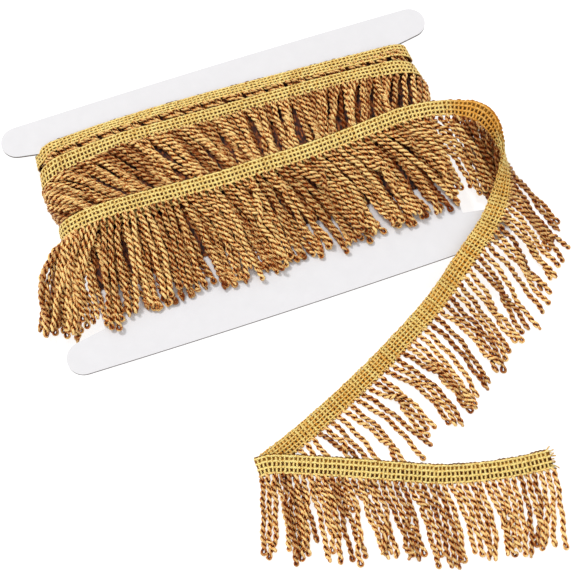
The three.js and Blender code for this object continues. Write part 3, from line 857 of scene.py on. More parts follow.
@dataclass
class WoundForm(Ground):
    """Outer skin of the inner turns: oblong sections with round ends, stacked across the card.

    A bend's centre is at bend_centre along the card, and header_bend past it is where headers
    turn. Past the form's near edge, ends holds rows and the heights of what lies there. From
    a bend's centre on, the front falls to a share of its height, round_off_low, over
    round_off, and beyond that there is the floor.
    """

    bend_centre: float = 98 * MM
    bend_length: float = 36 * MM
    header_bend: float = 11 * MM
    header_lowest: float = 0.95 * MM
    skin_lowest: float = 0.4 * MM
    sag_power: float = 3.0
    ends: tuple[tuple[float, ...], ...] = ((-60, -52, -46, -37), (14.5, 15, 17.4, 17.4))
    round_off: float = 9 * MM
    round_off_low: float = 0.35

    def __post_init__(self) -> None:
        """Reads the wound form's table, in metres."""
        rows = np.array(WOUND_ROWS) * MM
        self.y = rows[:, 0]
        self.columns = rows[:, 1:]
        self.perimeter = 4 * self.bend_centre + 2 * self.bend_length

    def point(self, around: np.ndarray, y: np.ndarray, depth: np.ndarray | float) -> np.ndarray:
        """Points below the skin.

        Round a bend, x is the centre + reach * cos(a) and z the middle + half the height *
        sin(a). The row drops by the sag * (x / bend centre) to the sag's power.

        Args:
            around: distance round the form from the front's left end, over the right bend,
                the back and the left bend.
            y: row across the card, before the turns sag at the bends.
            depth: how far below the skin.

        Returns:
            One point for each distance and row.
        """
        around, y = np.broadcast_arrays(np.asarray(around, float), np.asarray(y, float))
        start, angle = self.course(around)
        columns = np.moveaxis(sample(self.y, self.columns, y), -1, 0)
        front, back, reach, sag_left, sag_right = columns
        half = (front - back) / 2 - depth
        x = start + (reach - self.bend_centre - depth) * np.cos(angle)
        z = (front + back) / 2 + half * np.sin(angle)
        sag = np.where(x < 0, sag_left, sag_right)
        drop = sag * (np.abs(x) / self.bend_centre) ** self.sag_power
        return np.stack([x, y - drop, np.maximum(z, self.skin_lowest)], axis=-1)

    def course(self, around: np.ndarray) -> tuple[np.ndarray, np.ndarray]:
        """Centre along the card, and angle about it, at distances round the form."""
        flat, bend = 2 * self.bend_centre, self.bend_length
        stops = np.cumsum([0, flat, bend, flat, bend])
        along = np.mod(around, self.perimeter)
        angle = np.interp(along, stops, [90, 90, -90, -90, -270])
        start = np.interp(along, stops, np.array([-1, 1, 1, -1, -1]) * self.bend_centre)
        return start, np.radians(angle)

    def place_along_card(self, around: np.ndarray) -> np.ndarray:
        """Where a header is along the card, at distances round the form."""
        start, angle = self.course(around)
        return start + self.header_bend * np.cos(angle)

    def edge(
        self, around: np.ndarray, y: np.ndarray, front: float, back: float, reach: float
    ) -> np.ndarray:
        """A header's edge round the form.

        Args:
            around: distance round the form.
            y: row of the edge at each distance.
            front: height of the edge on the front, in millimetres.
            back: its height on the back.
            reach: its reach along the card, at the middle of a bend.

        Returns:
            One point for each distance.
        """
        start, angle = self.course(around)
        x = start + (reach * MM - self.bend_centre) * np.cos(angle)
        z = (front + back) / 2 * MM + (front - back) / 2 * MM * np.sin(angle)
        return np.stack([x, y, np.maximum(z, self.header_lowest)], axis=-1)

    def height(self, x: np.ndarray, y: np.ndarray) -> np.ndarray:
        """Height of the skin's front, then of the inner cords' ends, then of the card."""
        front = np.interp(y, self.y, self.columns[:, 0])
        rows, heights = (np.array(row) * MM for row in self.ends)
        height = np.where(y > self.y[0], front, np.interp(y, rows, heights))
        over, low = np.abs(x) - self.bend_centre, self.round_off_low
        fall = np.sqrt(np.clip(1 - np.clip(over / self.round_off, 0, 1) ** 2, 0, 1))
        return np.where(over < self.round_off, height * (low + (1 - low) * fall), 0)


@dataclass(frozen=True)
class Fringe:
    """A stretch of free cords between two rows of the header's route.

    skip is left free at each end and lift raises the cords' feet, both in millimetres. gather
    is how far cords lean together, wander how unsteady their headings are in degrees, ringed
    the share whose loops stay open, shade their mean tone, and rounds how long they settle.
    Some cords sweep aside from the header on, and some hook at the tip. ragged is how uneven
    their lengths are, one by one and four by four, and start_lost the shares of a cord's
    length between which its first heading gives way to its last.
    """

    name: str
    replaces: str
    start: str
    end: str
    skip: float
    cords: int
    lift: float
    lies: tuple[Lie, ...]
    gather: float
    wander: float
    ringed: float
    shade: float
    seed: int
    rounds: int = 30

    stations: int = 20
    most_in_bunch: int = 4
    sweeping: float = 0.06
    sweep: float = 1.8
    hooked: float = 0.07
    hook: float = 28
    tip_spread: float = 2.6
    ragged: tuple[float, float] = (0.03, 0.025)
    swing_rate: float = 5.5
    start_lost: tuple[float, float] = (0.05, 0.7)
    hook_from: float = 0.84

    def lie(self, share: np.ndarray, name: str) -> np.ndarray:
        """A column of the table of lies at places along the fringe."""
        at = [row.at for row in self.lies]
        return np.interp(share, at, [getattr(row, name) for row in self.lies])

    def gathered(self, rng: np.random.Generator) -> np.ndarray:
        """How far each cord's tip moves towards its bunch's middle, in cord pitches.

        Args:
            rng: source of the bunches' sizes.

        Returns:
            One number for each cord.
        """
        shift = np.zeros(self.cords)
        first = 0
        while first < self.cords:
            size = int(rng.integers(1, self.most_in_bunch + 1))
            members = np.arange(first, min(first + size, self.cords))
            shift[members] = members.mean() - members
            first += size
        return shift * self.gather

    def chosen(self, chance: float, rng: np.random.Generator) -> np.ndarray:
        """-1 or 1 for the cords that chance picks, and 0 for the others."""
        return (rng.random(self.cords) < chance) * rng.choice([-1, 1], self.cords)

    def headings(self, reach: np.ndarray, rng: np.random.Generator) -> np.ndarray:
        """Ways in which the cords run in plan, at each of their stations.

        A heading is turn + lean towards the bunch + what is left of start + swing + hook.

        Args:
            reach: length of each cord in plan.
            rng: source of what is uneven.

        Returns:
            Unit vectors, cords x stations x 2.
        """
        share = np.linspace(0, 1, self.cords)
        s = np.linspace(0, 1, self.stations)[None, :]
        lean = np.degrees(np.arctan(self.gathered(rng) * CORD_PITCH / reach))
        wave = rng.uniform(-1, 1, (self.cords, 3)) * self.wander
        end = (self.lie(share, "turn") + lean + wave[:, 0] * 0.4)[:, None]
        early = (self.lie(share, "start") - self.lie(share, "turn"))[:, None]
        swing = wave[:, 1:2] * np.sin(s * self.swing_rate + wave[:, 2:3]) * (0.3 + s)
        early = early + (self.chosen(self.sweeping, rng) * self.sweep * self.wander)[:, None]
        turn = end + early * (1 - ease(s, *self.start_lost)) * (1 + 0.05 * wave[:, 2:3])
        hook = (self.chosen(self.hooked, rng) * self.hook)[:, None]
        angle = np.radians(turn + swing + hook * ease(s, self.hook_from, 1.0))
        return np.stack([np.sin(angle), -np.cos(angle)], axis=-1)

    def paths(self, header: "OuterHeader", cord: CordMake, rng: np.random.Generator) -> np.ndarray:
        """Lines of the cords, which leave the header, lean over and fall.

        The headings are summed in steps, and the height falls by a smooth step between hold
        and level.

        Args:
            header: what they hang from.
            cord: how they are made.
            rng: source of what is uneven.

        Returns:
            Points, cords x stations x 3, the first two inside the header.
        """
        share = np.linspace(0, 1, self.cords)
        place = header.cord_places(self.start, self.end, self.skip * MM, self.cords)
        root, foot = header.root(place), header.foot(place)
        steep = np.abs(sample(header.line.distance, header.line.across[:, 2], place))
        foot[:, 2] += self.lift * MM * (1 - steep)
        each, shared = rng.standard_normal((2, self.cords))
        ragged = self.ragged[0] * each + self.ragged[1] * np.convolve(shared, np.ones(4), "same")
        reach = self.lie(share, "reach") * MM * (1 + ragged)
        heading = self.headings(reach, rng)
        steps = heading[:, :-1] * (reach[:, None, None] / (self.stations - 1))
        moved = np.concatenate([np.zeros((self.cords, 1, 2)), np.cumsum(steps, axis=1)], axis=1)
        hold, level, tip = (self.lie(share, name)[:, None] for name in ("hold", "level", "tip"))
        tip = tip + rng.uniform(0, self.tip_spread, (self.cords, 1))
        tip = np.maximum(tip * MM, cord.radius)
        s = np.linspace(0, 1, self.stations)[None, :]
        at_once = np.sin(np.minimum(s / level, 1) * math.pi / 2)
        falls = np.where(hold > 0, ease(s, hold, level), at_once)
        height = foot[:, 2:3] + (tip - foot[:, 2:3]) * falls
        free = np.concatenate([foot[:, None, :2] + moved, height[..., None]], axis=-1)
        entry = root[:, None] + (foot - root)[:, None] * np.linspace(0, 1, 3)[None, :-1, None]
        return np.concatenate([entry, free], axis=1)


# The outer turn's fringes and the loose end's, in the header's order
FRINGES = (
    Fringe(
        "fan_cords", "fan_fringe", "underLeft", "frontLeft", skip=2, cords=25, lift=0,
        lies=(
            Lie(0, -24, -6, 46, FLOOR, 0.1, 0.6),
            Lie(0.25, -38, -14, 47, 3.4, 0.2, 1),
            Lie(0.5, -44, -20, 47, 6.4, 0.2, 1),
            Lie(0.75, -30, -9, 49, 11, 0.2, 1),
            Lie(1, -12, 0, 50, 16, 0.3, 1),
        ),
        gather=0.25, wander=20, ringed=0.2, shade=0.5, seed=11, rounds=16,
    ),
    Fringe(
        "outer_turn_cords", "pack_fringe", "frontLeft", "curve1", skip=2, cords=54, lift=0.45,
        lies=(
            Lie(0, -36, -25, 50, 14.5, 0.25, 1),
            Lie(0.05, -25, -18, 50, 17.5, 0.25, 1),
            Lie(0.1, -14, -11, 49, 18.5, 0.25, 1),
            Lie(0.17, 3, -4, 49, 18.5, 0.25, 1),
            Lie(0.25, 18, 4, 50, 18.5, 0.25, 1),
            Lie(0.6, 27, 10, 53, 18.5, 0.25, 1),
            Lie(0.75, 31, 13, 53, 18.5, 0.25, 1),
            Lie(0.86, 37, 20, 53, 16, 0.25, 1),
            Lie(0.93, 34, 17, 51, 12, 0.25, 1),
            Lie(1, 27, 10, 47, 8, 0.2, 1),
        ),
        gather=0.4, wander=13, ringed=0.15, shade=0.55, seed=12,
    ),
    Fringe(
        "curve_cords", "curve_fringe", "curve1", "curve8", skip=2, cords=16, lift=0,
        lies=(
            Lie(0, 24, 6, 44, 5, 0, 1),
            Lie(0.2, 14, 0, 40, 3, 0, 0.9),
            Lie(0.45, 1, -6, 34, FLOOR, 0, 0.7),
            Lie(0.8, -14, -18, 24, FLOOR, 0, 0.7),
            Lie(1, -18, -21, 22, FLOOR, 0, 0.7),
        ),
        # shade 0.05 is painted shade: the curve's cords are made dark and deep maroon, as in shade
        gather=0.2, wander=6, ringed=0.2, shade=0.05, seed=13, rounds=14,
    ),
    Fringe(
        "diagonal_cords", "diagonal_fringe", "curve8", "foldUnder", skip=3, cords=51, lift=0.45,
        lies=(
            Lie(0, 20, 14, 40, FLOOR, 0, 0.7),
            Lie(0.1, 30, 24, 40, FLOOR, 0.25, 0.8),
            Lie(0.25, 30, 17, 42, FLOOR, 0.25, 0.8),
            Lie(0.4, 28, 8, 44, FLOOR, 0, 0.6),
            Lie(0.6, 36, 17, 45, FLOOR, 0, 0.5),
            Lie(0.75, 40, 20, 44, FLOOR, 0, 0.5),
            Lie(0.85, 28, 8, 42, FLOOR, 0, 0.5),
            Lie(1, 6, -8, 40, FLOOR, 0, 0.5),
        ),
        gather=0.95, wander=11, ringed=0.12, shade=0.44, seed=14,
    ),
    Fringe(
        "front_cords", "front_fringe", "foldCrease", "cutEnd", skip=0.3, cords=43, lift=0.45,
        lies=(
            Lie(0, -17, -20, 39, FLOOR, 0.3, 0.85),
            Lie(0.1, -12, -17, 39, FLOOR, 0.5, 0.9),
            Lie(0.2, -3, -12, 39.5, FLOOR, 0.55, 0.92),
            Lie(0.32, 6, -6, 40, FLOOR, 0.5, 0.85),
            Lie(0.5, 6, -9, 40, FLOOR, 0.4, 0.8),
            Lie(0.75, 4, -13, 39, FLOOR, 0.05, 0.55),
            Lie(0.93, -12, -22, 38, FLOOR, 0, 0.5),
            Lie(1, -8, -20, 38, FLOOR, 0, 0.5),
        ),
        gather=0.7, wander=9, ringed=0.15, shade=0.48, seed=15,
    ),
)


class Expression:
    """A number that varies over a surface, with Python's operators as Math nodes."""

    def __init__(self, finish: "Finish", socket: bpy.types.NodeSocket) -> None:
        """Wraps a node's output."""
        self.finish = finish
        self.socket = socket

    def _math(self, operation: str, *terms: "Expression | float") -> "Expression":
        """A Math node on sockets and plain numbers."""
        inputs = {i: t.socket if isinstance(t, Expression) else t for i, t in enumerate(terms)}
        node = self.finish.node("ShaderNodeMath", {"operation": operation}, inputs)
        return Expression(self.finish, node.outputs[0])

    def __add__(self, other: "Expression | float") -> "Expression":
        """self + other."""
        return self._math("ADD", self, other)

    def __radd__(self, other: float) -> "Expression":
        """other + self."""
        return self._math("ADD", other, self)

    def __sub__(self, other: "Expression | float") -> "Expression":
        """self - other."""
        return self._math("SUBTRACT", self, other)

    def __rsub__(self, other: float) -> "Expression":
        """other - self."""
        return self._math("SUBTRACT", other, self)

    def __mul__(self, other: "Expression | float") -> "Expression":
        """self * other."""
        return self._math("MULTIPLY", self, other)

    def __rmul__(self, other: float) -> "Expression":
        """other * self."""
        return self._math("MULTIPLY", other, self)

    def __abs__(self) -> "Expression":
        """The value without its sign."""
        return self._math("ABSOLUTE", self)

    def above(self, limit: float) -> "Expression":
        """1 where the value is above the limit, else 0."""
        return self._math("GREATER_THAN", self, limit)


class Finish:
    """A procedural material, built up node by node."""

    def __init__(self, name: str) -> None:
        """Makes an empty material with a surface shader."""
        self.material = bpy.data.materials.new(name)
        self.material.use_nodes = True
        self.tree = self.material.node_tree
        self.tree.nodes.clear()
        self.shader = self.node("ShaderNodeBsdfPrincipled")
        surface = {"Surface": self.shader.outputs[0]}
        self.node("ShaderNodeOutputMaterial", inputs=surface)

    def node(
        self,
        kind: str,
        settings: dict | None = None,
        inputs: dict | None = None,
    ) -> bpy.types.Node:
        """Any node: its settings first, then the values or links of its sockets.

        Args:
            kind: the node's type.
            settings: its properties; stops are a ramp's places and colours.
            inputs: socket name or number, and a value, a socket or an expression.

        Returns:
            The node.
        """
        node = self.tree.nodes.new(kind)
        for key, value in (settings or {}).items():
            if key == "stops":
                self._set_stops(node, value)
            else:
                setattr(node, key, value)
        for key, value in (inputs or {}).items():
            socket = node.inputs[key]
            if isinstance(value, Expression):
                value = value.socket
            if isinstance(value, bpy.types.NodeSocket):
                self.tree.links.new(value, socket)
            else:
                socket.default_value = value
        return node

    @staticmethod
    def _set_stops(node: bpy.types.Node, stops: tuple) -> None:
        """Gives a ramp its places and colours."""
        elements = node.color_ramp.elements
        while len(elements) < len(stops):
            elements.new(0.5)
        for element, (place, colour) in zip(elements, stops):
            element.position = place
            element.color = (*colour, 1)

    def value(self, attribute: str) -> Expression:
        """A number kept on the piece's points."""
        node = self.node("ShaderNodeAttribute", {"attribute_name": attribute})
        return Expression(self, node.outputs["Fac"])

    def ramp(self, value: Expression, stops: tuple) -> bpy.types.NodeSocket:
        """Colours along a value."""
        node = self.node("ShaderNodeValToRGB", {"stops": stops}, {0: value})
        return node.outputs[0]

    def blend(self, share: Expression | float, first: object, second: object) -> bpy.types.NodeSocket:
        """A colour between two others, the second at a share of 1."""
        inputs = {0: share, 6: first, 7: second}
        return self.node("ShaderNodeMix", {"data_type": "RGBA"}, inputs).outputs[2]

    def noise(self, vector: bpy.types.NodeSocket, stretch: tuple, detail: float) -> Expression:
        """Soft noise on stretched coordinates, about a half."""
        scaled = self.node(
            "ShaderNodeVectorMath", {"operation": "MULTIPLY"}, {0: vector, 1: stretch}
        )
        inputs = {"Vector": scaled.outputs[0], "Scale": 1.0, "Detail": detail}
        return Expression(self, self.node("ShaderNodeTexNoise", inputs=inputs).outputs[0])

    def fibres(self) -> bpy.types.NodeSocket:
        """Place along a thread and round it, as kept on the points."""
        return self.node("ShaderNodeAttribute", {"attribute_name": "fibre"}).outputs["Vector"]

    def place(self) -> bpy.types.NodeSocket:
        """Object coordinates."""
        return self.node("ShaderNodeTexCoord").outputs["Object"]

    def set_constants(self, **constants: object) -> None:
        """Gives the shader what is the same all over, by its sockets' names with underscores."""
        for name, value in constants.items():
            self.shader.inputs[name.replace("_", " ")].default_value = value

    def set_surface(
        self, colour: bpy.types.NodeSocket, normal: bpy.types.NodeSocket, **constants: object
    ) -> None:
        """Gives the shader its colour, its normal, and what is the same all over."""
        self.tree.links.new(colour, self.shader.inputs["Base Color"])
        self.tree.links.new(normal, self.shader.inputs["Normal"])
        self.set_constants(**constants)

    def relief(self, height: Expression, strength: float, distance: float) -> bpy.types.NodeSocket:
        """A bumped normal."""
        inputs = {"Height": height, "Strength": strength, "Distance": distance}
        return self.node("ShaderNodeBump", inputs=inputs).outputs[0]


Colour = tuple[float, float, float]
Stops = tuple[tuple[float, Colour], ...]


@dataclass(frozen=True)
class ThreadFinish:
    """Shiny dyed thread: painted shade where threads meet, painted highlight outside, fibre streaks.

    The shade is darkest + a share of groove, which paints that shade and highlight, + fibre
    streaks and painted sparkle, each about 0, + a part of the tone, and stops are its colours.
    Tone is the shade of dye, lowered in places for painted shade. A thread of a low tone leans
    towards the deep colour.
    """

    name: str
    stops: Stops
    deep: Colour
    roughness: float

    darkest: float = 0.06
    painted_groove_shading: float = 0.86
    streaks: float = 1.9
    sparkle: float = 1.7
    dye_and_painted_shade: float = 0.3
    deepening: float = 1.2
    relief: float = 0.4 * MM

    def material(self) -> bpy.types.Material:
        """The thread's material, read from its groove, tone and fibre values."""
        finish = Finish(self.name)
        fibres, tone = finish.fibres(), finish.value("tone")
        streaks = finish.noise(fibres, (0.25, 1.6, 1.6), 2.0)
        sparkle = finish.noise(fibres, (0.9, 3.0, 3.0), 1.0)
        # painted shade where the plies meet and painted highlight on their outside come from groove;
        # sparkle is painted glints
        shade = self.darkest + self.painted_groove_shading * finish.value("groove") + self.streaks * (streaks - 0.5)
        shade = shade + self.sparkle * (sparkle - 0.5) + self.dye_and_painted_shade * (tone - 0.5)
        strands = finish.noise(fibres, (0.3, 3.2, 3.2), 3.0)
        colour = finish.ramp(shade, self.stops)
        finish.set_surface(
            finish.blend(self.deepening * (0.5 - tone), colour, (*self.deep, 1)),
            finish.relief(strands, 0.9, self.relief),
            Roughness=self.roughness,
            Sheen_Weight=0.06,
            Sheen_Roughness=0.4,
            Sheen_Tint=(1.0, 0.6, 0.3, 1),
            Specular_IOR_Level=0.4,
            Specular_Tint=(1.0, 0.52, 0.2, 1),
        )
        return finish.material


CORD_FINISH = ThreadFinish(
    "old_gold_cord",
    (
        (0.2, (0.02, 0.0015, 0.0005)),
        (0.39, (0.2, 0.02, 0.002)),
        (0.56, (0.52, 0.096, 0.012)),
        (0.68, (0.84, 0.29, 0.045)),
        (0.82, (1.0, 0.74, 0.3)),
    ),
    # deep: the maroon of low-tone cords, both of darker dye and of painted shade
    deep=(0.16, 0.024, 0.004),
    roughness=0.34,
)

HEADER_FINISH = ThreadFinish(
    "gold_header_thread",
    (
        (0.2, (0.035, 0.008, 0.0005)),
        (0.4, (0.3, 0.1, 0.007)),
        (0.58, (0.64, 0.28, 0.03)),
        (0.74, (0.92, 0.56, 0.11)),
        (0.9, (1.0, 0.86, 0.34)),
    ),
    # deep: the orange towards which the painted shade round the curve leans
    deep=(0.85, 0.31, 0.015),
    roughness=0.38,
)


def band_material() -> bpy.types.Material:
    """Woven band that shows through the header's eyelets, dark with their painted shade, lighter along
    its plain edge.
    """
    finish = Finish("header_band_eyelet_shade")
    weave = finish.noise(finish.fibres(), (2.0, 2.0, 1.0), 2.0)
    stops = ((0.35, (0.025, 0.008, 0.001)), (0.65, (0.11, 0.036, 0.004)), (1.0, (0.4, 0.19, 0.02)))
    colour = finish.ramp(weave + finish.value("groove"), stops)
    relief = finish.relief(weave, 0.5, 0.2 * MM)
    finish.set_surface(colour, relief, Roughness=0.85, Specular_IOR_Level=0.1)
    return finish.material


def card_material() -> bpy.types.Material:
    """Smooth white card, faintly mottled, with painted shade in dark grey on its cut edge.

    The edge is where the surface's own normal leans away from up and down.
    """
    finish = Finish("white_card")
    pulp = finish.noise(finish.place(), (160.0, 160.0, 160.0), 4.0)
    white = finish.ramp(pulp, ((0.3, (0.715, 0.705, 0.72)), (0.7, (0.735, 0.725, 0.74))))
    normal = finish.node("ShaderNodeNewGeometry").outputs["Normal"]
    parts = finish.node("ShaderNodeSeparateXYZ", inputs={0: normal})
    # painted shade: the card's sides, where the normal leans away from up and down, are dark grey
    edge = 1 - abs(Expression(finish, parts.outputs[2])).above(0.5)
    colour = finish.blend(edge, white, (0.14, 0.12, 0.12, 1))
    finish.set_surface(colour, finish.relief(pulp, 0.15, 0.1 * MM), Roughness=0.6)
    return finish.material


def core_material() -> bpy.types.Material:
    """What shows between the inner cords: the cords below, in their browns darkened by painted shade,
    mottled and rough.
    """
    finish = Finish("turns_painted_shade")
    mottle = finish.noise(finish.place(), (620.0, 260.0, 620.0), 3.0)
    stops = ((0.38, (0.01, 0.001, 0.001)), (0.52, (0.08, 0.014, 0.003)), (0.62, (0.36, 0.1, 0.015)))
    colour = finish.ramp(mottle, stops)
    finish.set_surface(colour, finish.relief(mottle, 0.9, 1.5 * MM), Roughness=0.8)
    return finish.material


def core_material() -> bpy.types.Material:
    """Shaded depth of the wound turns, in the cords' darkest brown."""
    finish = Finish("turns_painted_shade")
    mottle = finish.noise(finish.place(), (620.0, 260.0, 620.0), 3.0)
    stops = ((0.38, (0.01, 0.001, 0.001)), (0.52, (0.08, 0.014, 0.003)), (0.62, (0.36, 0.1, 0.015)))
    colour = finish.ramp(mottle, stops)
    finish.set_surface(colour, finish.relief(mottle, 0.9, 1.5 * MM), Roughness=0.8)
    return finish.material


class Workshop:
    """Turns shapes into pieces of the part, each on the root body with its finish."""

    def __init__(self) -> None:
        """Makes each finish once."""
        self.finishes = {
            "cord": CORD_FINISH.material(),
            "header": HEADER_FINISH.material(),
            "band": band_material(),
            "core": core_material(),
            "card": card_material(),
        }

    def piece(
        self,
        name: str,
        shape: Shape,
        finish: str,
        slot: str,
        replaces: tuple[str, ...] = (),
    ) -> bpy.types.Object:
        """Makes a piece and puts it on the root body.

        Args:
            name: the piece's name.
            shape: its points, faces and values.
            finish: which material it has.
            slot: not used.
            replaces: CAD nodes that it stands for.

        Returns:
            The object.
        """
        mesh = bpy.data.meshes.new(name)
        faces = [row for faces in shape.faces for row in faces.tolist()]
        shape.points[:, 2] = np.maximum(shape.points[:, 2], RESTING)
        mesh.from_pydata(shape.points.tolist(), [], faces)
        for key, kind, column in (
            ("groove", "FLOAT", shape.groove),
            ("tone", "FLOAT", shape.tone),
            ("fibre", "FLOAT_VECTOR", shape.fibre),
        ):
            target = mesh.attributes.new(key, kind, "POINT")
            field = "vector" if kind == "FLOAT_VECTOR" else "value"
            target.data.foreach_set(field, np.ascontiguousarray(column, np.float32).ravel())
        mesh.shade_smooth()
        mesh.materials.append(self.finishes[finish])
        piece = bpy.data.objects.new(name, mesh)
        bpy.context.scene.collection.objects.link(piece)
        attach(piece, "root")
        if replaces:
            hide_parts(*replaces)
        triangles = sum(len(f) * (f.shape[1] - 2) for f in shape.faces)
        log.info("%s: %d triangles", name, triangles)
        return piece


@dataclass
class OuterHeader:
    """Header of the outer turn and of the loose end, one length from the left bend on.

    Cords enter it root_inset inside its edge, as a share of half its width, and are free of it
    foot_reach past the edge.
    """

    curve_steps: int = 40
    station_step: float = 0.5 * MM
    lowest: float = 0.8 * MM
    root_inset: float = 0.12
    foot_reach: float = 1.3 * MM
    tone: float = 0.66
    curve_shade_tone: float = 0.6
    seed: int = 21

    def __post_init__(self) -> None:
        """Lays the header's course through its table."""
        places = np.array([row[1:] for row in HEADER_ROUTE], float)
        middle = spline(places[:, :3], self.curve_steps) * MM
        across = spline(unit(places[:, 3:]), self.curve_steps)
        middle[:, 2] = np.maximum(middle[:, 2], self.lowest)
        row = np.linspace(0, len(places) - 1, len(middle))
        snug = self._row(SNUG_FROM), self._row(SNUG_TO)
        width = HEADER_WIDTH * (SNUG_WOUND + (1 - SNUG_WOUND) * ease(row, *snug))
        distance = travelled(middle)
        even = np.linspace(0, distance[-1], round(distance[-1] / self.station_step) + 1)
        self.row_of = np.interp(even, distance, row)
        # Painted shade: round the curve the header's tone drops, so it comes out darker and more orange
        into, out_of = ((self._row(name) for name in rows) for rows in (CURVE_SHADE_FROM, CURVE_SHADE_TO))
        curve_shade = ease(self.row_of, *into) * (1 - ease(self.row_of, *out_of))
        self.line = TapeLine(
            sample(distance, middle, even),
            unit(sample(distance, across, even)),
            sample(distance, width, even),
            self.tone - self.curve_shade_tone * curve_shade,
        )

    @staticmethod
    def _row(name: str) -> int:
        """Number of a named row."""
        return [row.name for row in HEADER_ROUTE].index(name)

    def distance_of(self, name: str) -> float:
        """How far along the header a named row is."""
        return float(np.interp(self._row(name), self.row_of, self.line.distance))

    def root(self, distance: np.ndarray) -> np.ndarray:
        """Where cords enter the header, just inside its lowest chain."""
        return self.line.at(distance, 1 - self.root_inset, 0.0)

    def foot(self, distance: np.ndarray) -> np.ndarray:
        """Where cords are free of the header."""
        return self.line.at(distance, 1 + self.foot_reach * 2 / HEADER_WIDTH, 0.0)

    def cord_places(self, start: str, end: str, skip: float, cords: int) -> np.ndarray:
        """Distances along the header whose cords are evenly spaced at its lower edge.

        Args:
            start: name of the row at which the cords begin.
            end: name of the row at which they end.
            skip: distance left free at each end.
            cords: number of cords.

        Returns:
            One distance for each cord.
        """
        places = np.linspace(self.distance_of(start), self.distance_of(end), 600)
        edge = travelled(self.foot(places))
        even = np.linspace(skip, edge[-1] - skip, cords)
        return np.interp(even, edge, places)

    def build(self, workshop: Workshop) -> None:
        """Makes the band, its stitches on the front, and its ribs where its back shows."""
        net = HeaderNet(self.line, np.random.default_rng(self.seed))
        band = workshop.piece("header_band", net.band(), "band", "header", ("header_tape",))
        front = Shape.joined([net.front(), net.frayed_ends()])
        stitches = workshop.piece("header_stitches", front, "header", "header")
        turned, folded = self.distance_of("curve3"), self.distance_of("foldOver")
        ribs = net.back(turned, folded)
        back = workshop.piece("header_back_ribs", ribs, "header", "header")


@dataclass
class FreeCords:
    """Cords of the outer turn and of the loose end, fringe by fringe."""

    header: OuterHeader
    form: WoundForm
    cord: CordMake
    tone_spread: float = 0.35

    def build(self, workshop: Workshop) -> None:
        """Lays, settles and twists each fringe's cords."""
        settling, floor = Settling(self.cord.radius), Ground()
        lying: dict[str, np.ndarray] = {}
        for fringe in FRINGES:
            rng = np.random.default_rng(fringe.seed)
            paths = fringe.paths(self.header, self.cord, rng)
            ground = self.form if fringe.name == "outer_turn_cords" else floor
            others = lying.get("diagonal_cords") if fringe.name == "front_cords" else None
            paths = settling.settled(paths, ground, fringe.rounds, others)
            lying[fringe.name] = paths.reshape(-1, 3)
            heading = paths[:, -1] - paths[:, 0]
            heading[:, 2] = 0
            heading = unit(heading)
            side = np.stack([-heading[:, 1], heading[:, 0], 0 * heading[:, 0]], axis=-1)
            sideways = np.broadcast_to(side[:, None], paths.shape)
            uneven = rng.uniform(-self.tone_spread, self.tone_spread, fringe.cords)
            tone = np.clip(fringe.shade + uneven, 0, 1)
            ringed = (rng.random(fringe.cords) < fringe.ringed).astype(float)
            shape = self.cord.twisted(paths, sideways, tone, ringed, rng)
            workshop.piece(fringe.name, shape, "cord", "cord", (fringe.replaces,))


class Turn(NamedTuple):
    """An inner turn of the trim round the card, with its sizes in millimetres.

    edges says where its header lies. plain_edge and cord_edge are the height of that edge on
    the front and on the back and its reach along the card. The cords lie cord_depth below the
    wound form's skin at the header, and by deeper further down at their tips. On the front
    they begin front_start below the header, and towards the left bend they are up to
    longer_left longer. slants are their headings at places along the card, in degrees from
    straight down towards the right end, with a scatter that is the last of so many draws.
    A covered turn has coarse cords on the front and none round the left bend, a doubled one
    has a second layer, and a pressed one lies low on the card.
    """

    name: str
    replaces: tuple[str, ...]
    edges: tuple[EdgeRow, ...]
    plain_edge: tuple[float, float, float]
    cord_edge: tuple[float, float, float]
    chain_step: float
    cord_depth: float
    deeper: float
    front_start: float
    length: float
    longer_left: float
    pitch: float
    slants: tuple[tuple[float, float], ...]
    scatter: float
    draws: int
    loose: float
    darkest: float
    ringed: float
    covered: bool
    doubled: bool
    pressed: bool


TURNS = (
    Turn(
        "upper", (), UPPER_EDGES, (15.3, 6, 108.5), (17.8, 2.5, 109.3), chain_step=1.05,
        cord_depth=0.8, deeper=1.5, front_start=0, length=6.2, longer_left=0, pitch=4.0,
        slants=((0, 36),), scatter=2, draws=2, loose=0.1, darkest=0.5, ringed=1.0,
        covered=False, doubled=False, pressed=True,
    ),
    Turn(
        "middle", (), MIDDLE_EDGES, (18.3, 2, 109.0), (20.8, 0.95, 110.4), chain_step=1.05,
        cord_depth=-0.4, deeper=2.0, front_start=0, length=38, longer_left=9, pitch=3.8,
        slants=((-98, 46), (-90, 38), (-82, 33), (-30, 24), (10, 0), (60, -14), (98, -12)),
        scatter=5, draws=1, loose=0.5, darkest=0.1, ringed=0.3,
        covered=False, doubled=True, pressed=False,
    ),
    Turn(
        "lower", ("inner_ends_above", "inner_ends_below"), LOWER_EDGES,
        (22.0, 0.95, 106.0), (22.0, 0.95, 105.4), chain_step=2.2,
        cord_depth=1.5, deeper=0, front_start=3, length=49, longer_left=0, pitch=3.35,
        slants=((-98, -9), (-60, 2), (0, 12), (70, 18), (98, 34)),
        scatter=6, draws=2, loose=0.5, darkest=0.1, ringed=0.3,
        covered=True, doubled=True, pressed=False,
    ),
)


class Stretch(NamedTuple):
    """Part of an inner turn's cords, from start to end round the form.

    skip is the length left out at the header, below how much deeper the layer is, and offset
    where its first cord is, in pitches.
    """

    start: float
    end: float
    skip: float
    coarse: bool
    below: float
    offset: float


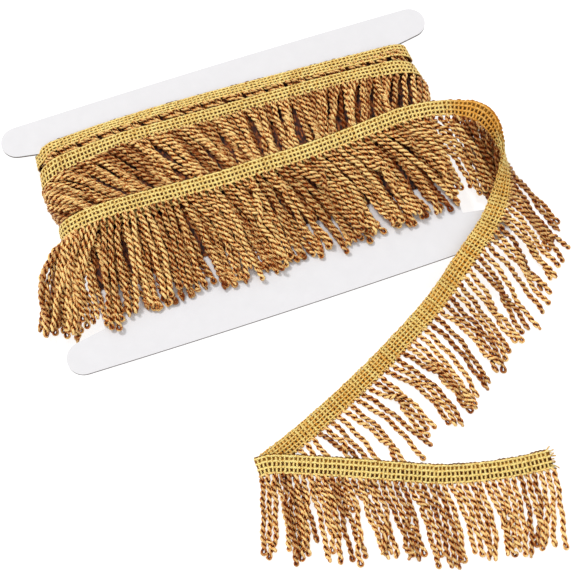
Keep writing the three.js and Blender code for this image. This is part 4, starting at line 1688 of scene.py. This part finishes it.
@dataclass(frozen=True)
class TurnCords:
    """Cords of one inner turn.

    They keep off the card's top, and past the form's near edge they come down over a length
    of fall. left_from and left_to are where they grow longer, in millimetres left of the
    middle. The rates are in radians a metre.
    """

    form: WoundForm
    cord: CordMake
    turn: Turn
    rng: np.random.Generator

    root_drop: float = 0.8 * MM
    stations: int = 16
    layer_depth: float = 1.7 * MM
    left_overlap: float = 14 * MM
    gather: float = 1.4 * MM
    near_edge: float = -37 * MM
    card_top: float = 14.5 * MM
    card_rest: float = 16 * MM
    over_card: float = 13.5 * MM
    press: float = 1.5 * MM
    fall: float = 12 * MM
    coarse_step: float = 1.4 * MM
    coarse_sides: int = 4
    length_scatter: float = 0.03
    left_from: float = 55
    left_to: float = 90
    early_slant: float = 0.4
    waviness: float = 0.13
    wave_rate: float = 130
    lean_rate: float = 520
    lift_rate: float = 90
    brightest: float = 0.85
    shadow: float = 0.3

    def tops(self, first: np.ndarray) -> np.ndarray:
        """Rows, before the turns sag, at which the cords leave their header."""
        table = np.array(self.turn.edges) * MM
        edge = np.interp(self.form.place_along_card(first), table[:, 0], table[:, 2])
        edge = edge + self.root_drop
        return 2 * edge - self.form.point(first, edge, 0.0)[:, 1]

    def stretches(self) -> list[Stretch]:
        """The cords on the front, the right bend, the back and the left bend.

        Cords of a second layer, and those that lie behind or are covered, are coarse.
        """
        flat, bend = 2 * self.form.bend_centre, self.form.bend_length
        skip, under = self.turn.front_start * MM, self.layer_depth
        left, last = 2 * flat + bend - self.left_overlap, self.form.perimeter
        rows = [
            Stretch(0, flat, skip, self.turn.covered, 0.0, 0.5),
            Stretch(0, flat, skip, True, under, 0.0),
            Stretch(flat, flat + bend, 0.0, self.turn.covered, 0.0, 0.5),
            Stretch(flat + bend, 2 * flat + bend, 0.0, True, 0.0, 0.5),
        ]
        if not self.turn.covered:
            rows.append(Stretch(left, last, 0.0, False, 0.0, 0.5))
            rows.append(Stretch(left, last, 0.0, True, under, 0.0))
        return [row for row in rows if self.turn.doubled or not row.below]

    def rested(self, paths: np.ndarray, share: np.ndarray, past: np.ndarray) -> np.ndarray:
        """Cords kept off the card, and let down onto it or the floor past the form.

        Args:
            paths: cords x stations x 3, none past the form's near edge.
            share: place of each station along its cord.
            past: how far each station is past that edge, 0 or below.

        Returns:
            The new paths.
        """
        x, y, z = np.moveaxis(paths, -1, 0)
        on_card = (z > self.card_top) & (np.abs(x) < self.form.bend_centre)
        least = np.where(on_card, self.card_top + self.cord.radius, 0.0)
        if self.turn.pressed:
            z = np.minimum(z, np.where(on_card, least + self.press * (1 - share), 1.0))
        z = np.maximum(z, least)
        resting = np.where(z > self.over_card, self.card_rest, self.cord.radius)
        z = z + (resting - z) * ease(-past, 0.0, self.fall)
        return np.stack([x, y + past, np.maximum(z, self.cord.radius)], axis=-1)

    def paths(self, stretch: Stretch, first: np.ndarray) -> tuple[np.ndarray, np.ndarray]:
        """Lines of a stretch's cords on the wound form.

        A cord runs down the form's rows and aside by its slant, both summed in steps, with a
        slow wave and a lean towards its neighbours.

        Args:
            stretch: the cords' stretch.
            first: where each cord starts, round the form.

        Returns:
            Points, cords x stations x 3, and the way to each cord's side at them.
        """
        form, count = self.form, len(first)
        x = form.place_along_card(first) / MM
        length = self.turn.length * MM * (1 + self.length_scatter * self.rng.standard_normal(count))
        length += self.turn.longer_left * MM * ease(-x, self.left_from, self.left_to)
        run = (length - stretch.skip)[:, None]
        s = np.linspace(0, 1, self.stations)[None, :] * run + stretch.skip
        scatter = self.turn.scatter * self.rng.standard_normal((self.turn.draws, count))[-1]
        slant = np.interp(x, *zip(*self.turn.slants)) + scatter
        wave = self.rng.uniform(-1, 1, (count, 2))
        share = s / length[:, None]
        angle = np.radians(slant)[:, None] * (1 + self.early_slant * (1 - ease(share, 0, 0.4)))
        angle = angle + self.waviness * wave[:, :1] * np.sin(s * self.wave_rate + 3 * wave[:, 1:])
        lean = self.gather * np.sin(first * self.lean_rate)[:, None] * share
        step = np.gradient(s, axis=1)
        aside, down = (np.cumsum(step * part, axis=1) for part in (np.sin(angle), np.cos(angle)))
        around = first[:, None] + aside - aside[:, :1] + lean
        y = self.tops(first)[:, None] - down + down[:, :1] - stretch.skip
        lift = self.turn.loose * MM * self.rng.uniform(-1, 1, count)[:, None]
        lift = lift * np.sin(s * self.lift_rate + 5 * wave[:, :1])
        depth = self.turn.cord_depth * MM + self.turn.deeper * MM * share + lift + stretch.below
        points = form.point(around, np.maximum(y, self.near_edge), depth)
        side = form.point(around + 1 * MM, y, depth) - form.point(around - 1 * MM, y, depth)
        past = np.minimum(y - self.near_edge, 0)
        return self.rested(points, share, past), unit(side)

    def shape(self) -> Shape:
        """The cords as one shape: fine ones where they show, coarse ones below and behind."""
        shapes = []
        for stretch in self.stretches():
            span = stretch.end - stretch.start
            count = round(span / (self.turn.pitch * MM))
            first = stretch.start + (np.arange(count) + stretch.offset) * span / count
            paths, side = self.paths(stretch, first)
            tone = self.rng.uniform(self.turn.darkest, self.brightest, count)
            tone = tone - (self.shadow if stretch.below else 0)
            ringed = (self.rng.random(count) < self.turn.ringed).astype(float)
            coarse = (self.coarse_step, self.coarse_sides) if stretch.coarse else (None, None)
            shapes.append(self.cord.twisted(paths, side, tone, ringed, self.rng, *coarse))
        return Shape.joined(shapes)


@dataclass
class InnerTurns:
    """Turns under the outer one: the core, dark with painted shade, their headers, and their cords.

    The core is a sleeve on the card's neck, at core_depth below the form's skin.
    """

    form: WoundForm
    cord: CordMake

    core_rows: tuple[float, ...] = (57, 54, 50, 44, 36, 28, 20, 10, 0, -10, -20, -28, -33)
    core_depth: float = 3.5 * MM
    core_stations: int = 120
    tunnel_reach: float = 101.4 * MM
    tunnel_top: float = 14.9 * MM
    tunnel_middle: float = 13.75 * MM
    tunnel_bottom: float = 12.6 * MM
    seam: float = 0.4 * MM
    course_stations: int = 930
    band_step: float = 3 * MM
    first_seed: int = 40

    def core(self) -> Shape:
        """A closed sleeve between the card and the cords: rings of the form, then its tunnel."""
        form = self.form
        around = np.linspace(0, form.perimeter, self.core_stations + 1)[:-1]
        rows = np.array(self.core_rows) * MM
        skin = np.stack([form.point(around, y, self.core_depth) for y in rows])
        hollow = np.stack([form.point(around, y, self.core_depth) for y in rows[[-1, 0]]])
        above = hollow[..., 2] > self.tunnel_middle
        hollow[..., 0] = np.clip(hollow[..., 0], -self.tunnel_reach, self.tunnel_reach)
        hollow[..., 2] = np.where(above, self.tunnel_top, self.tunnel_bottom)
        grid = np.concatenate([skin, hollow])
        count = grid.shape[0] * grid.shape[1]
        index = np.arange(count).reshape(grid.shape[:2])
        right, down = np.roll(index, -1, axis=1), np.roll(index, -1, axis=0)
        corner = np.roll(right, -1, axis=0)
        faces = np.stack([index, down, corner, right], axis=-1).reshape(-1, 4)
        zeros = np.zeros(count)
        return Shape(grid.reshape(-1, 3), [faces], zeros, zeros, np.zeros((count, 3)))

    def header_line(self, turn: Turn) -> TapeLine:
        """Course of a turn's header, once round from the middle of the back."""
        form = self.form
        start = 3 * form.bend_centre + form.bend_length
        once = np.linspace(self.seam, form.perimeter - self.seam, self.course_stations)
        around = start + once
        table = np.array(turn.edges) * MM
        plain, cords = sample(table[:, 0], table[:, 1:], form.place_along_card(around)).T
        high = form.edge(around, plain, *turn.plain_edge)
        low = form.edge(around, cords, *turn.cord_edge)
        width = np.linalg.norm(low - high, axis=1)
        return TapeLine((low + high) / 2, unit(low - high), width)

    def build(self, workshop: Workshop) -> None:
        """Makes the core, then each turn's band, stitches and cords."""
        workshop.piece("turn_core", self.core(), "core", "cord", ("wound_pack",))
        for number, turn in enumerate(TURNS):
            rng = np.random.default_rng(self.first_seed + number)
            line = self.header_line(turn)
            net = HeaderNet(line, rng, self.band_step, turn.chain_step * MM)
            band = workshop.piece(f"{turn.name}_turn_band", net.band(), "band", "header")
            stitches = workshop.piece(f"{turn.name}_turn_stitches", net.front(), "header", "header")
            shape = TurnCords(self.form, self.cord, turn, rng).shape()
            cords = workshop.piece(f"{turn.name}_turn_cords", shape, "cord", "cord", turn.replaces)


class Lamp(NamedTuple):
    """A sunlike light: its tilt from straight down, its heading, strength and angular size."""

    name: str
    tilt: float
    heading: float
    strength: float
    spread: float


@dataclass(frozen=True)
class Studio:
    """Floor, light and viewpoint. Angles are in degrees.

    The camera stands at azimuth and elevation about the target, at a distance from it.
    """

    azimuth: float = -19.17
    elevation: float = 69.49
    distance: float = 0.7329
    target: tuple[float, float, float] = (-0.00108, -0.05923, 0.0)
    lens: float = 84.5
    sensor: float = 36
    floor_size: float = 6.0
    floor_drop: float = 0.2 * MM
    floor_glow: float = 0.78
    sky: float = 0.72
    lamps: tuple[Lamp, ...] = (Lamp("key", 38, -150, 1.65, 12), Lamp("fill", 50, 40, 0.33, 60))

    def camera(self) -> None:
        """Puts the camera at the photograph's viewpoint."""
        across, up = math.radians(self.azimuth), math.radians(self.elevation)
        away = (math.sin(across) * math.cos(up), -math.cos(across) * math.cos(up), math.sin(up))
        data = bpy.data.cameras.new("viewpoint")
        data.lens = self.lens
        data.sensor_width = self.sensor
        camera = bpy.data.objects.new("viewpoint", data)
        camera.location = [t + self.distance * a for t, a in zip(self.target, away)]
        camera.rotation_euler = Euler((math.pi / 2 - up, 0, across))
        bpy.context.scene.collection.objects.link(camera)
        bpy.context.scene.camera = camera

    def floor(self) -> None:
        """A plain white surface just below the part."""
        finish = Finish("studio_floor")
        finish.set_constants(
            Base_Color=(0.4, 0.4, 0.4, 1),
            Roughness=0.9,
            Emission_Color=(1, 1, 1, 1),
            Emission_Strength=self.floor_glow,
        )
        half = self.floor_size / 2
        corners = ((-half, -half), (half, -half), (half, half), (-half, half))
        mesh = bpy.data.meshes.new("floor")
        mesh.from_pydata([(x, y, -self.floor_drop) for x, y in corners], [], [(0, 1, 2, 3)])
        mesh.materials.append(finish.material)
        floor = bpy.data.objects.new("floor", mesh)
        bpy.context.scene.collection.objects.link(floor)

    def light(self) -> None:
        """White surroundings, a broad soft light from behind the left, and a weak fill."""
        scene = bpy.context.scene
        scene.world = bpy.data.worlds.new("studio")
        scene.world.use_nodes = True
        sky = scene.world.node_tree.nodes["Background"].inputs
        sky[0].default_value = (1, 1, 1, 1)
        sky[1].default_value = self.sky
        for lamp in self.lamps:
            data = bpy.data.lights.new(lamp.name, "SUN")
            data.energy = lamp.strength
            data.angle = math.radians(lamp.spread)
            light = bpy.data.objects.new(lamp.name, data)
            light.rotation_euler = Euler((math.radians(lamp.tilt), 0, math.radians(lamp.heading)))
            scene.collection.objects.link(light)
        scene.view_settings.view_transform = "Standard"
        scene.view_settings.look = "None"

    def build(self) -> None:
        """Camera first, then floor and light."""
        self.camera()
        self.floor()
        self.light()


def main() -> None:
    """Builds the studio, the card's finish, the wound turns, the header and its cords."""
    logging.basicConfig(level=logging.INFO, format="%(message)s")
    Studio().build()
    workshop = Workshop()
    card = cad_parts["winding_card"]
    card.data.materials.clear()
    card.data.materials.append(workshop.finishes["card"])
    form, cord = WoundForm(), CordMake()
    InnerTurns(form, cord).build(workshop)
    header = OuterHeader()
    header.build(workshop)
    FreeCords(header, form, cord).build(workshop)


if __name__ == "__main__":
    main()
